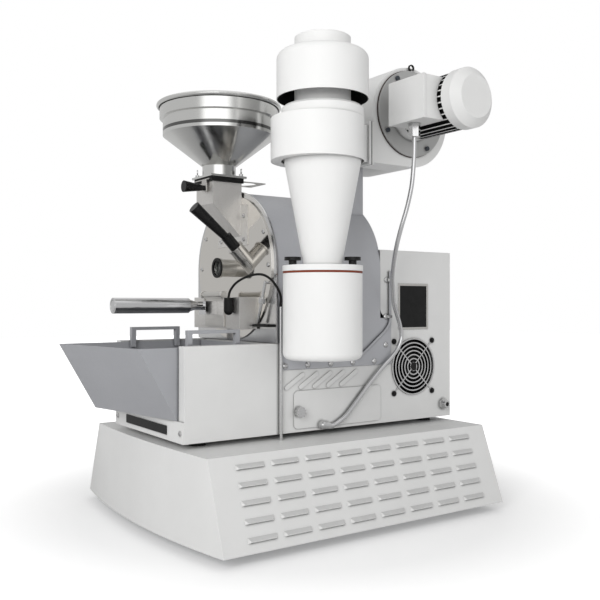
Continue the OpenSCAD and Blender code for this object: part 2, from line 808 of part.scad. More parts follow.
// Arched dark cover over the drum, with the lower step on each side
module drum_cover() {
  color(side_grey) difference() {
    union() {
      arch(cover_r, -arch_front, arch_back, cover_low);
      block(-cover_r, cover_r, arch_back - over, cover_step_y, cover_low, cover_step_z);
    }
    arch(cover_r - sheet, -arch_front - over, arch_back + over, cover_low - over);
    block(-cover_r + sheet, cover_r - sheet, arch_back - 2 * over, cover_step_y + over, cover_low - over,
      cover_step_z + over);
    block(duct_x0 - gap, duct_x1 + gap, duct_y0 - gap, duct_y1 + gap, drum_z, drum_z + cover_r + over);
    block(-cover_r - over, cover_r + over, -arch_front - over, -seam_front, cover_low - over, cool_top + gap);
  }
}

// Heat shell round the drum, open below over the heater rods and above for the exhaust
chamber_r = 118;
chamber_wall = 2;
chamber_mouth = 70;
module roast_chamber() {
  color(steel) difference() {
    rod_y(2 * chamber_r, ring_back + gap, bulk_y - gap, 0, drum_z);
    rod_y(2 * (chamber_r - chamber_wall), ring_back + gap - over, bulk_y - gap + over, 0, drum_z);
    block(-chamber_mouth, chamber_mouth, ring_back + 4 * sheet, bulk_y - 4 * sheet, drum_z - chamber_r - over,
      drum_z - chamber_r / 2);
    block(duct_x0, duct_x1, duct_y0, duct_y1 - 4 * sheet, drum_z, drum_z + chamber_r + over);
  }
}

// Ring plate at the front end of the arch, round the drum's mouth
mouth_r = 108;
module face_ring() {
  color(steel) difference() {
    arch(ring_r, ring_face, ring_back, cool_top + over);
    rod_y(2 * mouth_r, ring_face - over, ring_back + over, 0, drum_z);
  }
}

// Round stainless front plate with its windows
sight_d = 34;
door_win_half = 34;
door_box_rise = 190.3;
door_win_low = 7;
door_win_high = 53;
chute_win_low = 372;
chute_win_high = 424;
plate_low = 343.5;
module front_plate() {
  color(steel) difference() {
    intersection() {
      rod_y(2 * plate_r, plate_face, ring_face, 0, plate_z);
      block(-plate_r - over, plate_r + over, plate_face - over, ring_face + over, plate_low,
        plate_z + plate_r + over);
    }
    rod_y(sight_d, plate_face - over, ring_face + over, 0, plate_z);
    along_barrel(-scoop_l, scoop_l, barrel_bore + 2 * gap);
    block(-door_win_half, door_win_half, plate_face - over, ring_face + over,
      floor_z + door_box_rise + door_win_low, floor_z + door_box_rise + door_win_high);
    block(-chute_half + sheet, chute_half - sheet, plate_face - over, ring_face + over,
      floor_z + chute_win_low, floor_z + chute_win_high);
  }
}

// Sight tube with a rim, and the glass in its end
sight_l = 34;
sight_wall = 2.5;
sight_rim = 2;
glass_t = 3;
module sight_tube() {
  color(steel) difference() {
    union() {
      rod_y(sight_d - 2 * run_gap, plate_face - sight_l, ring_face - gap, 0, plate_z);
      rod_y(sight_d + 2 * sight_rim, plate_face - sight_l, plate_face - sight_l + 2 * sight_wall, 0, plate_z);
    }
    rod_y(sight_d - 2 * sight_wall, plate_face - sight_l - over, ring_face + over, 0, plate_z);
  }
}
module sight_glass() {
  color("lightblue")
    rod_y(sight_d - 2 * sight_wall - 2 * run_gap, plate_face - sight_l + sight_wall,
      plate_face - sight_l + sight_wall + glass_t,
      0, plate_z);
}

// Bean chute between hopper and front plate, with its screwed flange
chute_top = floor_z + chute_rise;
chute_low = 365.3;
chute_nose = 428;
flange_half = 56;
flange_low = 350;
flange_high = 428;
chute_t = 2;
module chute_outline(t) {
  polygon([[plate_face - chute_out + t, chute_top + (t > 0 ? over : 0)],
    [plate_face - t, chute_top + (t > 0 ? over : 0)],
    [plate_face - t, floor_z + chute_low + 2 * t],
    [plate_face - chute_out + t, floor_z + chute_nose + 2 * t]]);
}
module feed_chute() {
  color(steel) difference() {
    union() {
      slab_x(-chute_half, chute_half) chute_outline(0);
      block(-flange_half, flange_half, plate_face - chute_t, plate_face, floor_z + flange_low,
        floor_z + flange_high);
    }
    slab_x(-chute_half + chute_t, chute_half - chute_t) chute_outline(chute_t);
    block(-chute_half + chute_t, chute_half - chute_t, plate_face - 2 * chute_t, plate_face + over,
      floor_z + chute_win_low, floor_z + chute_win_high);
  }
}

// Spun hopper with two bands, a rolled rim and a square foot over the gate
gate_room = 9;
foot_t = 4;
foot_half = 39;
hopper_z = chute_top + gate_room;
hopper_wall = 1.6;
lip_r = 4;
neck_l = 20;
cone_h = 58;
band_h = 31;
module hopper() {
  zc = hopper_z + foot_t + neck_l;
  zb = zc + cone_h;
  zu = zb + band_h;
  zr = hopper_z + hopper_h;
  color(steel) {
    translate([0, -hopper_y, 0]) rotate_extrude()
      polygon([[hopper_neck_r, hopper_z], [hopper_neck_r, zc], [hopper_body_r, zb], [hopper_body_r, zu],
        [hopper_band_r, zu + hopper_wall], [hopper_band_r, zr - lip_r], [hopper_rim_r - lip_r, zr - lip_r],
        [hopper_rim_r - lip_r, zr], [hopper_band_r - hopper_wall, zr], [hopper_band_r - hopper_wall,
          zu + 3 * hopper_wall],
        [hopper_body_r - hopper_wall, zu + 2 * hopper_wall], [hopper_body_r - hopper_wall, zb + hopper_wall],
        [hopper_neck_r - hopper_wall, zc + hopper_wall], [hopper_neck_r - hopper_wall, hopper_z]]);
    translate([0, -hopper_y, zr - lip_r / 2]) rotate_extrude() translate([hopper_rim_r - lip_r, 0])
      circle(lip_r, $fn = fine_fn);
    difference() {
      block(-foot_half, foot_half, -hopper_y - foot_half, -hopper_y + foot_half, hopper_z, hopper_z + foot_t);
      rod_z(2 * hopper_neck_r - hopper_wall, hopper_z - over, hopper_z + foot_t + over, 0, -hopper_y);
    }
  }
}

// Feed gate: a thin plate with a round hole and a bent tab at the front for the knob
gate_half = 28;
gate_t = 2;
gate_z = chute_top + gate_room / 2 - gate_t / 2;
gate_hole_d = 50;
gate_back = 76;
gate_front = 5.5;
gate_tab_x = 8;
gate_tab_half = 9;
gate_tab_drop = 22;
gate_y0 = plate_face - chute_out - gate_front;
module feed_gate() {
  color(steel) difference() {
    union() {
      block(-gate_half, gate_half, gate_y0, -gate_back, gate_z, gate_z + gate_t);
      block(gate_tab_x - gate_tab_half, gate_tab_x + gate_tab_half, gate_y0, gate_y0 + gate_t,
        gate_z - gate_tab_drop, gate_z + gate_t);
    }
    rod_z(gate_hole_d, gate_z - over, gate_z + gate_t + over, 0, -hopper_y + gate_travel);
  }
}

// Tapered black knob on the gate's tab
knob_ring_d = 10;
knob_ring_l = 5;
knob_d1 = 11;
knob_d2 = 22;
knob_l = 38;
module gate_knob() {
  z = gate_z - gate_tab_drop + knob_ring_d / 2 + gate_t;
  color(steel) rod_y(knob_ring_d, gate_y0 - knob_ring_l, gate_y0, gate_tab_x, z);
  color(black)
    bar([gate_tab_x, gate_y0 - knob_ring_l, z], [gate_tab_x, gate_y0 - knob_ring_l - knob_l, z], knob_d1,
      knob_d2);
}

// Sampler: a slanted guide barrel on the front plate, and the scoop that slides in it with its handle
barrel_foot = [sampler_x, plate_face, plate_z + sampler_rise];
barrel_dir = [0, -cos(sampler_turn), sin(sampler_turn)];
barrel_bore = scoop_d + 2 * run_gap;
barrel_sink = 18;
barrel_lip = 3;
barrel_clip_t = 2;
barrel_clip_l = 16;
barrel_clip_half = 7;
module along_barrel(s0, s1, d) {
  bar(barrel_foot + s0 * barrel_dir, barrel_foot + s1 * barrel_dir, d, d);
}
module sampler_tube() {
  color(steel) difference() {
    union() {
      along_barrel(-barrel_sink, barrel_l, barrel_d);
      along_barrel(barrel_l - barrel_lip, barrel_l, barrel_d + barrel_lip);
      for (x = [-barrel_clip_half, barrel_clip_half - barrel_clip_t])
        translate(barrel_foot + barrel_l * barrel_dir) rotate([sampler_turn, 0, 0])
          block(x, x + barrel_clip_t, -barrel_lip, barrel_clip_l - barrel_lip,
            -barrel_clip_l - barrel_d / 2, -barrel_bore / 2 - barrel_clip_t);
    }
    along_barrel(-2 * barrel_sink, barrel_l + over, barrel_bore);
    block(-plate_r, plate_r, plate_face, plate_face + 2 * barrel_d, plate_low, plate_z + plate_r);
  }
}
scoop_wall = 1.5;
scoop_hub_d = 21;
scoop_hub_l = 27;
scoop_cap = 6;
module sampler() {
  hub = barrel_foot + (barrel_l + gap + scoop_hub_l / 2) * barrel_dir;
  dir = [0, -cos(sampler_turn - handle_bend), sin(sampler_turn - handle_bend)];
  color(steel) difference() {
    along_barrel(-scoop_l, barrel_l + gap, scoop_d);
    along_barrel(-scoop_l + scoop_wall, -scoop_cap, scoop_d - 2 * scoop_wall);
    translate(barrel_foot) rotate([180 - sampler_turn, 0, 0])
      block(-scoop_d, scoop_d, scoop_cap, scoop_l - scoop_wall, -scoop_d, 0);
  }
  color(black) {
    along_barrel(barrel_l + gap, barrel_l + gap + scoop_hub_l, scoop_hub_d);
    bar(hub, hub + sampler_l * dir, sampler_d1, sampler_d2);
  }
}

// Discharge box under the sight tube, with the ears and the pin that carry the door
box_low = floor_z + door_box_rise;
box_y0 = plate_face - door_box_out;
ear_half = 42;
ear_t = 5;
hinge_rise = 5;
hinge_out = 6;
hinge_y = box_y0 - hinge_out;
hinge_z = box_low + door_box_h + hinge_rise;
ear_d = 14;
module door_box() {
  color(steel) difference() {
    union() {
      block(-door_box_half, door_box_half, box_y0, plate_face, box_low, box_low + door_box_h);
      for (x = [-ear_half, ear_half - ear_t]) {
        rod_x(ear_d, x, x + ear_t, hinge_y, hinge_z);
        block(x, x + ear_t, hinge_y, box_y0 + over, hinge_z - ear_d / 2 - hinge_rise, hinge_z);
      }
      rod_x(hinge_d, -ear_half, ear_half, hinge_y, hinge_z);
    }
    block(-door_box_half + sheet, door_box_half - sheet, box_y0 + sheet, plate_face + over, box_low + sheet,
      box_low + door_box_h - sheet);
    block(-door_win_half, door_win_half, box_y0 - over, box_y0 + 2 * sheet, box_low + door_win_low,
      box_low + door_win_high);
  }
}

// Door plate with its knuckle, and the heavy handle that keeps it shut
door_t = 3.5;
knuckle_d = 11;
door_low = 4;
module discharge_door() {
  half = ear_half - ear_t - gap;
  color(steel) difference() {
    union() {
      block(-half, half, box_y0 - gap - door_t, box_y0 - gap, box_low + door_low,
        hinge_z - knuckle_d / 2 - over);
      block(-half, half, hinge_y - door_t / 2, box_y0 - gap, hinge_z - knuckle_d / 2 - 2 * over,
        hinge_z - hinge_d / 2 - over);
      rod_x(knuckle_d, -half, half, hinge_y, hinge_z);
    }
    rod_x(hinge_d + 2 * run_gap, -half - over, half + over, hinge_y, hinge_z);
  }
}
handle_rise = 234.3;
head_d = 26;
head_l = 26;
neck_d = 17;
handle_y0 = 381.5;
handle_groove = 2;
module door_handle() {
  z = floor_z + handle_rise;
  y1 = -handle_y0 + handle_l;
  face = box_y0 - gap - door_t;
  color(steel) difference() {
    union() {
      rod_y(handle_d, -handle_y0, y1, 0, z);
      translate([0, y1, z]) rotate([-90, 0, 0])
        cylinder(d1 = handle_d - 2 * handle_groove, d2 = neck_d, h = handle_d / 2);
      rod_y(neck_d, y1, face, 0, z);
      block(-head_d / 2, head_d / 2, face - head_l, face, z - head_d / 2 - door_low, z + neck_d / 2);
    }
    translate([0, -handle_y0, z]) rotate([-90, 0, 0]) rotate_extrude()
      translate([handle_d / 2 - 2 * handle_groove, 0]) circle(handle_groove / 2, $fn = fine_fn);
  }
}

// Probe cable from the boot over to the post, and the post itself
post_y = -122;
post_d = 6.4;
post_x = cover_r + gap + post_d / 2;
post_top = 407;
post_bore = 4;
cable_points = [[65, -181, 412], [65, -181, 424], [69, -179, 438], [82, -172, 453], [104, -159, 464], [126,
  -146, 466],
  [147, -139, 456], [158, -131, 438], [156, -124, 424], [152.7, -122, 413], [152.7, -122, 407.2]];
cable_steps = 2;
cable_sides = 8;
module probe_cable() {
  color(black) swept(cable_points, cable_d, cable_steps, cable_sides, [0.64, 0.77, 0]);
}
module conduit_post() {
  color(steel) difference() {
    rod_z(post_d, base_top, post_top, post_x, post_y);
    rod_z(post_bore, base_top + post_d, post_top - post_d, post_x, post_y);
  }
}

// Bent rod with a collar beside the discharge box
rod_d = 6;
collar_d = 13;
collar_l = 5;
rod_y_out = 8;
rod_high = [131, 277];
rod_mid = [120, 244];
rod_low = [105, 203];
module vent_rod() {
  y = plate_face - rod_y_out;
  a = [rod_high.x, y, floor_z + rod_high.y];
  b = [rod_mid.x, y, floor_z + rod_mid.y];
  c = [rod_low.x, y, floor_z + rod_low.y];
  color(side_grey) {
    bar(a, b, rod_d, rod_d);
    bar(b, c, rod_d, rod_d);
    translate(b) sphere(d = rod_d);
    translate(a) sphere(d = rod_d);
    bar(b - collar_l * unit(b - a), b + collar_l * unit(c - b), collar_d, collar_d);
    rod_y(rod_d, y, plate_face, rod_high.x, floor_z + rod_high.y);
  }
}

// Electric heater rods under the drum
heater_r = 133;
heater_d = 8;
heater_turns = [-36, -12, 12, 36];
module heater_rods() {
  color("#6d5a50") for (a = heater_turns)
    rod_y(heater_d, ring_back + gap, bulk_y - gap, heater_r * sin(a), drum_z - heater_r * cos(a));
}

// Drum with its lifting vanes, back disc and shaft
drum_front = -118;
hub_disc = 3;
shaft_end = 194;
vane_h = 16;
mouth_lip = 14;
module drum() {
  color(steel) difference() {
    union() {
      difference() {
        rod_y(2 * drum_r, drum_front, drum_front + drum_l, 0, drum_z);
        rod_y(2 * (drum_r - drum_wall), drum_front + drum_wall, drum_front + drum_l - hub_disc, 0, drum_z);
      }
      for (i = [0 : drum_vanes - 1])
        translate([0, 0, drum_z]) rotate([0, 180 * (2 * i + 1) / drum_vanes, 0])
          block(drum_r - drum_wall - vane_h, drum_r - drum_wall / 2, drum_front + drum_wall / 2,
            drum_front + drum_l - hub_disc / 2, -drum_wall / 2, drum_wall / 2);
      rod_y(shaft_d, drum_front + drum_l - 2 * hub_disc, shaft_end, 0, drum_z);
    }
    rod_y(2 * (drum_r - mouth_lip), drum_front - over, drum_front + 2 * drum_wall, 0, drum_z);
  }
}

// Two ball bearings in the bulkhead and the bearing wall
race_t = 4;
module drum_bearings() {
  color(steel) for (y = [bulk_y + bulk_t / 2, bear_y + bulk_t / 2]) difference() {
    rod_y(bearing_d - 2 * run_gap, y - bearing_w / 2, y + bearing_w / 2, 0, drum_z);
    rod_y(shaft_d + 2 * run_gap, y - bearing_w, y + bearing_w, 0, drum_z);
    for (s = [-1, 1])
      difference() {
        rod_y(bearing_d - 2 * race_t, y + s * bearing_w / 2 - over, y + s * bearing_w / 2 + over, 0, drum_z);
        rod_y(shaft_d + 2 * race_t, y - bearing_w, y + bearing_w, 0, drum_z);
      }
  }
}

// Spur gears of the drum drive, with plain trapezium teeth and open backlash
gear_module = 2.5;
gear_teeth = 28;
pinion_teeth = 14;
gear_w = 10;
gear_y = 178;
tooth_top_share = 0.7;
tooth_root_share = 0.9;
tooth_tip_half_share = 0.35;
tooth_foot_half_share = 0.62;
gear_centres = gear_module * (gear_teeth + pinion_teeth) / 2 + 2 * gap;
pinion_z = drum_z - gear_centres;
module gear_outline(teeth, phase) {
  r = gear_module * teeth / 2;
  circle(r - tooth_root_share * gear_module);
  for (i = [0 : teeth - 1])
    rotate(360 * i / teeth + phase)
      polygon([[r - 2 * tooth_root_share * gear_module, -tooth_foot_half_share * gear_module],
        [r + tooth_top_share * gear_module, -tooth_tip_half_share * gear_module],
        [r + tooth_top_share * gear_module, tooth_tip_half_share * gear_module],
        [r - 2 * tooth_root_share * gear_module, tooth_foot_half_share * gear_module]]);
}
module drum_gear() {
  color("#8d8a84") difference() {
    slab_y(gear_y, gear_y + gear_w) translate([0, drum_z]) gear_outline(gear_teeth, 90);
    rod_y(shaft_d, gear_y - over, gear_y + gear_w + over, 0, drum_z);
  }
}

// Pinion with its shaft, and the gearmotor that holds it
pinion_shaft = 12;
gearbox = 84;
gearbox_l = 50;
gearmotor_d = 72;
gearmotor_l = 52;
gearbox_y = 196;
gearbox_leg = 60;
module pinion() {
  color("#8d8a84") {
    slab_y(gear_y, gear_y + gear_w) translate([0, pinion_z])
      gear_outline(pinion_teeth, 90 + 180 / pinion_teeth);
    rod_y(pinion_shaft, gear_y - over, gearbox_y + gearbox_l / 2, 0, pinion_z);
  }
}
module gearmotor() {
  color("#3b4046") difference() {
    union() {
      block(-gearbox / 2, gearbox / 2, gearbox_y, gearbox_y + gearbox_l, pinion_z - gearbox / 2,
        pinion_z + gearbox / 2);
      rod_y(gearmotor_d, gearbox_y + gearbox_l - over, gearbox_y + gearbox_l + gearmotor_l, 0, pinion_z);
      block(-gearbox_leg / 2, gearbox_leg / 2, gearbox_y, gearbox_y + gearbox_l, floor_z + frame_floor,
        pinion_z);
    }
    rod_y(pinion_shaft + 2 * run_gap, gearbox_y - over, gearbox_y + gearbox_l / 2 + gap, 0, pinion_z);
  }
}

// Exhaust duct from the arch up into the blower housing
duct_x0 = 15;
duct_x1 = 97;
duct_y0 = 48;
duct_y1 = 116;
duct_top = blower_z - 46;
volute_y = blower_y + 2;
volute_z = blower_z - 6;
module exhaust_duct() {
  color(side_grey) difference() {
    block(duct_x0, duct_x1, duct_y0, duct_y1, drum_z + chamber_r / 2, duct_top);
    block(duct_x0 + sheet, duct_x1 - sheet, duct_y0 + sheet, duct_y1 - sheet, drum_z, duct_top - sheet);
    rod_x(2 * (blower_r + gap), duct_x0 - over, duct_x1 + over, volute_y, volute_z);
    rod_y(2 * (chamber_r + gap), duct_y0 - over, duct_y1 + over, 0, drum_z);
  }
}

// Blower housing: a scroll with an outlet at the front and an intake room behind a dividing wall
case_wall = 2;
outlet_y = 78;
outlet_h = 72;
throat_r = 40;
volute_room = 62;
case_flange = 6;
module blower_case() {
  back = blower_face - blower_depth;
  mid = blower_face - volute_room;
  flange = case_flange;
  color(light_grey) difference() {
    union() {
      rod_x(2 * blower_r, back, blower_face, volute_y, volute_z);
      block(mid, blower_face, outlet_y, volute_y, volute_z - blower_r, volute_z - blower_r + outlet_h);
      block(mid - flange, blower_face + flange, outlet_y, outlet_y + 2 * case_wall,
        volute_z - blower_r - flange, volute_z - blower_r + outlet_h + flange);
    }
    rod_x(2 * (blower_r - case_wall), mid + case_wall, blower_face - case_wall, volute_y, volute_z);
    rod_x(2 * (blower_r - case_wall), back + case_wall, mid, volute_y, volute_z);
    rod_x(2 * throat_r, mid - over, mid + 2 * case_wall, blower_y, blower_z);
    rod_x(2 * (motor_plate_r - 2 * case_wall), blower_face - 2 * case_wall, blower_face + over, blower_y,
      blower_z);
    block(mid + case_wall, blower_face - case_wall, outlet_y - over, volute_y,
      volute_z - blower_r + case_wall,
      volute_z - blower_r + outlet_h - case_wall);
    block(back + 2 * case_wall, duct_x1 - 2 * case_wall, duct_y0, duct_y1 - 2 * case_wall,
      volute_z - blower_r,
      duct_top - 2 * case_wall);
  }
}

// Soft seals: blower gasket, can gasket, duct gasket, seal bar, gate guide and sight ring
gasket_t = 2;
seal_h = 5;
seal_t = 3;
seal_end = 146;
can_gasket_t = 3.5;
can_lid_z = 469;
inlet_gap = 2;
module gaskets() {
  mid = blower_face - volute_room;
  flange = case_flange;
  color(red) {
    difference() {
      rod_x(2 * motor_plate_r + gasket_t, blower_face, blower_face + gasket_t, blower_y, blower_z);
      rod_x(2 * (motor_plate_r - 2 * case_wall), blower_face - over, blower_face + gasket_t + over,
        blower_y, blower_z);
    }
    difference() {
      rod_z(2 * can_r, can_lid_z - can_gasket_t, can_lid_z, cyclone_x, -cyclone_y);
      rod_z(2 * can_r - 4 * can_gasket_t, can_lid_z - 2 * can_gasket_t, can_lid_z + over, cyclone_x,
        -cyclone_y);
    }
    difference() {
      block(mid - flange, blower_face + flange, outlet_y - inlet_gap, outlet_y, volute_z - blower_r - flange,
        volute_z - blower_r + outlet_h + flange);
      block(mid + case_wall, blower_face - case_wall, outlet_y - 2 * inlet_gap, outlet_y + over,
        volute_z - blower_r + case_wall, volute_z - blower_r + outlet_h - case_wall);
    }
  }
  color(black) {
    block(door_box_half + seal_t, seal_end, plate_face - 4 * seal_t, ring_face, box_low + seal_h,
      box_low + 2 * seal_h);
    difference() {
      block(-chute_half - seal_t, chute_half + seal_t, plate_face - chute_out - seal_t,
        plate_face + seal_t, chute_top,
        hopper_z);
      block(-gate_half - gap, gate_half + gap, plate_face - chute_out - 2 * seal_t, plate_face + 2 * seal_t,
        gate_z - gap, gate_z + gate_t + gap);
      rod_z(2 * (hopper_neck_r - hopper_wall - seal_t), chute_top - over, hopper_z + over, 0, -hopper_y);
    }
    difference() {
      rod_y(sight_d + seal_h, plate_face - sight_l - seal_t, plate_face - sight_l, 0, plate_z);
      rod_y(sight_d - 2 * seal_t, plate_face - sight_l - 2 * seal_t, plate_face - sight_l + over, 0, plate_z);
    }
  }
}

// Impeller on the motor shaft
impeller_w = 40;
impeller_hub = 26;
impeller_disc = 2.5;
impeller_blade = 2;
motor_shaft = 14;
plate_back = 4;
impeller_gap = 6;
shaft_seat = 22;
module impeller() {
  x1 = blower_face - impeller_gap;
  color("#9a9a98") translate([0, blower_y, blower_z]) {
    rod_x(2 * impeller_r, x1 - impeller_disc, x1, 0, 0);
    rod_x(impeller_hub, x1 - impeller_w, x1, 0, 0);
    rod_x(motor_shaft, x1 - over, blower_face + gasket_t + shaft_seat, 0, 0);
    for (i = [0 : impeller_blades - 1])
      rotate([360 * i / impeller_blades, 0, 0])
        block(x1 - impeller_w, x1 - impeller_disc / 2, -impeller_blade / 2, impeller_blade / 2,
          impeller_hub / 2 - over, impeller_r - over);
  }
}

// Finned motor body with its mounting plate
fin_t = 2.4;
fin_h = 7;
motor_x0 = blower_face + gasket_t;
fins_start = 22;
plate_bolt_r = 77;
plate_bolt_d = 9;
plate_bolts = 4;
eye_r = 7;
eye_t = 4;
module blower_motor() {
  x1 = motor_x0 + plate_back;
  color(light_grey) difference() {
    translate([0, blower_y, blower_z]) union() {
      rod_x(2 * motor_plate_r, motor_x0, x1, 0, 0);
      rod_x(2 * (motor_r - fin_h), x1 - over, motor_x0 + motor_l, 0, 0);
      rod_x(2 * motor_r, x1 - over, x1 + fins_start, 0, 0);
      for (i = [0 : motor_fins - 1])
        rotate([360 * (i + 0.5) / motor_fins, 0, 0])
          block(x1, motor_x0 + motor_l, -fin_t / 2, fin_t / 2, motor_r - fin_h - over, motor_r);
      for (i = [0 : plate_bolts - 1])
        rotate([360 * (i + 0.35) / plate_bolts, 0, 0])
          rod_x(plate_bolt_d, x1 - over, x1 + plate_bolt_d / 2, plate_bolt_r, 0);
    }
    rod_x(motor_shaft + 2 * run_gap, motor_x0 - over, motor_x0 + shaft_seat + 2 * gap, blower_y, blower_z);
  }
  color(black) translate([motor_x0 + plate_back / 2, blower_y, blower_z + motor_plate_r + eye_r])
    rotate([0, 90, 0]) difference() {
      union() {
        cylinder(r = eye_r, h = eye_t, center = true);
        translate([0, -eye_t / 2, -eye_t / 2]) cube([eye_r, eye_t, eye_t]);
      }
      cylinder(r = eye_r - eye_t / 2, h = 2 * eye_t, center = true);
    }
}

// Fan cowl at the end of the motor, with a bevelled face
cap_face_r = 40;
cap_bevel = 14;
cap_wall = 2;
cap_gap = 8;
module motor_cap() {
  x0 = motor_x0 + motor_l - cap_gap;
  l = motor_cap_l + cap_gap;
  r = motor_r + cap_wall + gap;
  color(light_grey) translate([x0, blower_y, blower_z]) rotate([0, 90, 0]) rotate_extrude()
    polygon([[0, l], [cap_face_r, l], [r, l - cap_bevel], [r, 0], [r - cap_wall, 0],
      [r - cap_wall, l - cap_bevel - cap_wall / 2], [cap_face_r - cap_wall / 2, l - cap_wall],
      [motor_shaft, l - cap_wall], [motor_shaft, cap_gap + run_gap], [0, cap_gap + run_gap]]);
}

// Terminal box on the side of the motor
term_x0 = 204;
term_x1 = 298;
term_y0 = 95;
term_z0 = 754;
term_z1 = 834;
term_lid = 2;
module terminal_box() {
  color(light_grey) difference() {
    union() {
      block(term_x0, term_x1, term_y0, blower_y - motor_r / 2, term_z0, term_z1);
      block(term_x0 - term_lid / 2, term_x1 + term_lid / 2, term_y0 - term_lid, term_y0 + 2 * term_lid,
        term_z0 - term_lid / 2, term_z1 + term_lid / 2);
    }
    rod_x(2 * (motor_r + gap), term_x0 - over, term_x1 + over, blower_y, blower_z);
  }
}

// Steel conduit from the motor down to the service hatch
conduit_points = [[248, 118, 740], [248, 118, 726], [247, 118, 693], [244, 118, 660], [240, 117, 631],
  [233, 113, 596], [225, 107, 562], [215, 104, 528], [203, 107, 497], [190, 114, 467], [179, 124, 440],
  [170, 135, 414], [165, 148, 391], [162, 159, 368], [161, 163, 346], [160, 156, 325], [158.5, 140, 306],
  [157, 113, 283], [156.5, 87, 259], [156.5, 66, 238], [156.5, 47, 219], [156.5, 26, 199], [156.5, 9, 188],
  [156.5, -6, 182], [156.5, -18, 182.9], [156.5, -26, 184.3]];
conduit_steps = 2;
conduit_sides = 12;
module motor_conduit() {
  color(steel) swept(conduit_points, conduit_d, conduit_steps, conduit_sides, [0, 0.5, -0.2]);
}

// Cyclone: body, cone and the lid of the can
lid_r = 70.6;
knob_r = 52.5;
knob_bore = 6;
view_turn = 55.2;
module cyclone_body() {
  w = cyclone_wall;
  color(powder) translate([cyclone_x, -cyclone_y, 0]) difference() {
    rotate_extrude()
      polygon([[outlet_r + run_gap, cyclone_top], [cyclone_r - 2 * w, cyclone_top],
        [cyclone_r, cyclone_top - 2 * w], [cyclone_r, cone_top], [cone_r, cone_bottom], [lid_r, cone_bottom],
        [lid_r, can_lid_z], [cone_r - w, can_lid_z], [cone_r - w, cone_bottom],
        [cyclone_r - w, cone_top], [cyclone_r - w, cyclone_top - w], [outlet_r + run_gap, cyclone_top - w]]);
    for (s = [-1, 1])
      rotate([0, 0, view_turn])
        rod_z(knob_bore + 2 * run_gap, can_lid_z - over, cone_bottom + over, s * knob_r, 0);
    block(-cyclone_r - over, -outlet_r, -outlet_r / 2, outlet_r / 2, inlet_z0 + 2 * w,
      inlet_z0 + inlet_h - 2 * w);
  }
}

// Hood on the outlet pipe, which reaches down through the cyclone's top
hood_corner = 14;
pipe_low = 690;
module cyclone_hood() {
  w = cyclone_wall;
  r = outlet_r - w;
  color(powder) translate([cyclone_x, -cyclone_y, 0]) rotate_extrude() {
    difference() {
      union() {
        translate([r, hood_bottom]) square([hood_r - hood_corner - r, hood_top - hood_bottom]);
        translate([r, hood_bottom]) square([hood_r - r, hood_top - hood_corner - hood_bottom]);
        translate([hood_r - hood_corner, hood_top - hood_corner]) circle(hood_corner);
      }
      translate([r - over, hood_bottom - over])
        square([hood_r - w - r + over, hood_top - hood_corner - hood_bottom + over]);
      translate([r - over, hood_bottom - over])
        square([hood_r - hood_corner - r + over, hood_top - w - hood_bottom + over]);
      translate([hood_r - hood_corner, hood_top - hood_corner]) circle(hood_corner - w);
    }
    translate([r, pipe_low]) square([w, outlet_top - pipe_low]);
  }
}

// Inlet: a scroll round the cyclone body and a duct from the blower's outlet flange
inlet_z0 = 661;
inlet_h = 74;
scroll_r = 82;
scroll_dx = 5;
scroll_dy = 7.5;
inlet_w = 50;
inlet_flange = 5;
module inlet_duct(t) {
  mid = blower_face - volute_room;
  hull() {
    translate([cyclone_x - scroll_dx - scroll_r + t, -cyclone_y - scroll_dy, inlet_z0 + t])
      cube([inlet_w - 2 * t, t > 0 ? over / 4 : over / 2, inlet_h - 2 * t]);
    translate([mid + t, outlet_y - inlet_gap - over / 2 + (t > 0 ? over : 0), volute_z - blower_r + t])
      cube([volute_room - 2 * t, over / 2, outlet_h - 2 * t]);
  }
}
module cyclone_inlet() {
  w = cyclone_wall;
  mid = blower_face - volute_room;
  flange = case_flange;
  color(powder) difference() {
    union() {
      rod_z(2 * scroll_r, inlet_z0, inlet_z0 + inlet_h, cyclone_x - scroll_dx, -cyclone_y - scroll_dy);
      inlet_duct(0);
      block(mid - flange, blower_face + flange, outlet_y - inlet_gap - inlet_flange, outlet_y - inlet_gap,
        volute_z - blower_r - flange, volute_z - blower_r + outlet_h + flange);
    }
    rod_z(2 * (scroll_r - w), inlet_z0 + w, inlet_z0 + inlet_h - w, cyclone_x - scroll_dx,
      -cyclone_y - scroll_dy);
    inlet_duct(w);
    rod_z(2 * (cyclone_r + 2 * run_gap), inlet_z0 - over, cyclone_top + over, cyclone_x, -cyclone_y);
  }
}

// Chaff can with a rounded floor and two lugs for the thumb screws
can_corner = 12;
lug_d = 16;
lug_t = 6;
lug_hole = 8;
module chaff_can() {
  w = cyclone_wall;
  top = can_lid_z - can_gasket_t - gap;
  z0 = top - can_h;
  color(powder) translate([cyclone_x, -cyclone_y, 0]) difference() {
    union() {
      difference() {
        union() {
          rod_z(2 * can_r, z0 + can_corner, top, 0, 0);
          rod_z(2 * (can_r - can_corner), z0, z0 + can_corner + over, 0, 0);
          translate([0, 0, z0 + can_corner]) rotate_extrude() translate([can_r - can_corner, 0])
            circle(can_corner);
        }
        rod_z(2 * (can_r - w), z0 + can_corner, top + over, 0, 0);
        rod_z(2 * (can_r - can_corner), z0 + w, z0 + can_corner + over, 0, 0);
      }
      rotate([0, 0, view_turn]) for (s = [-1, 1]) {
        rod_z(lug_d, top - lug_t, top, s * knob_r, 0);
        block(min(s * knob_r, s * (can_r - w / 2)), max(s * knob_r, s * (can_r - w / 2)), -lug_d / 2,
          lug_d / 2, top - lug_t, top);
      }
    }
    rotate([0, 0, view_turn]) for (s = [-1, 1])
      rod_z(lug_hole, top - 2 * lug_t, top + over, s * knob_r, 0);
  }
}

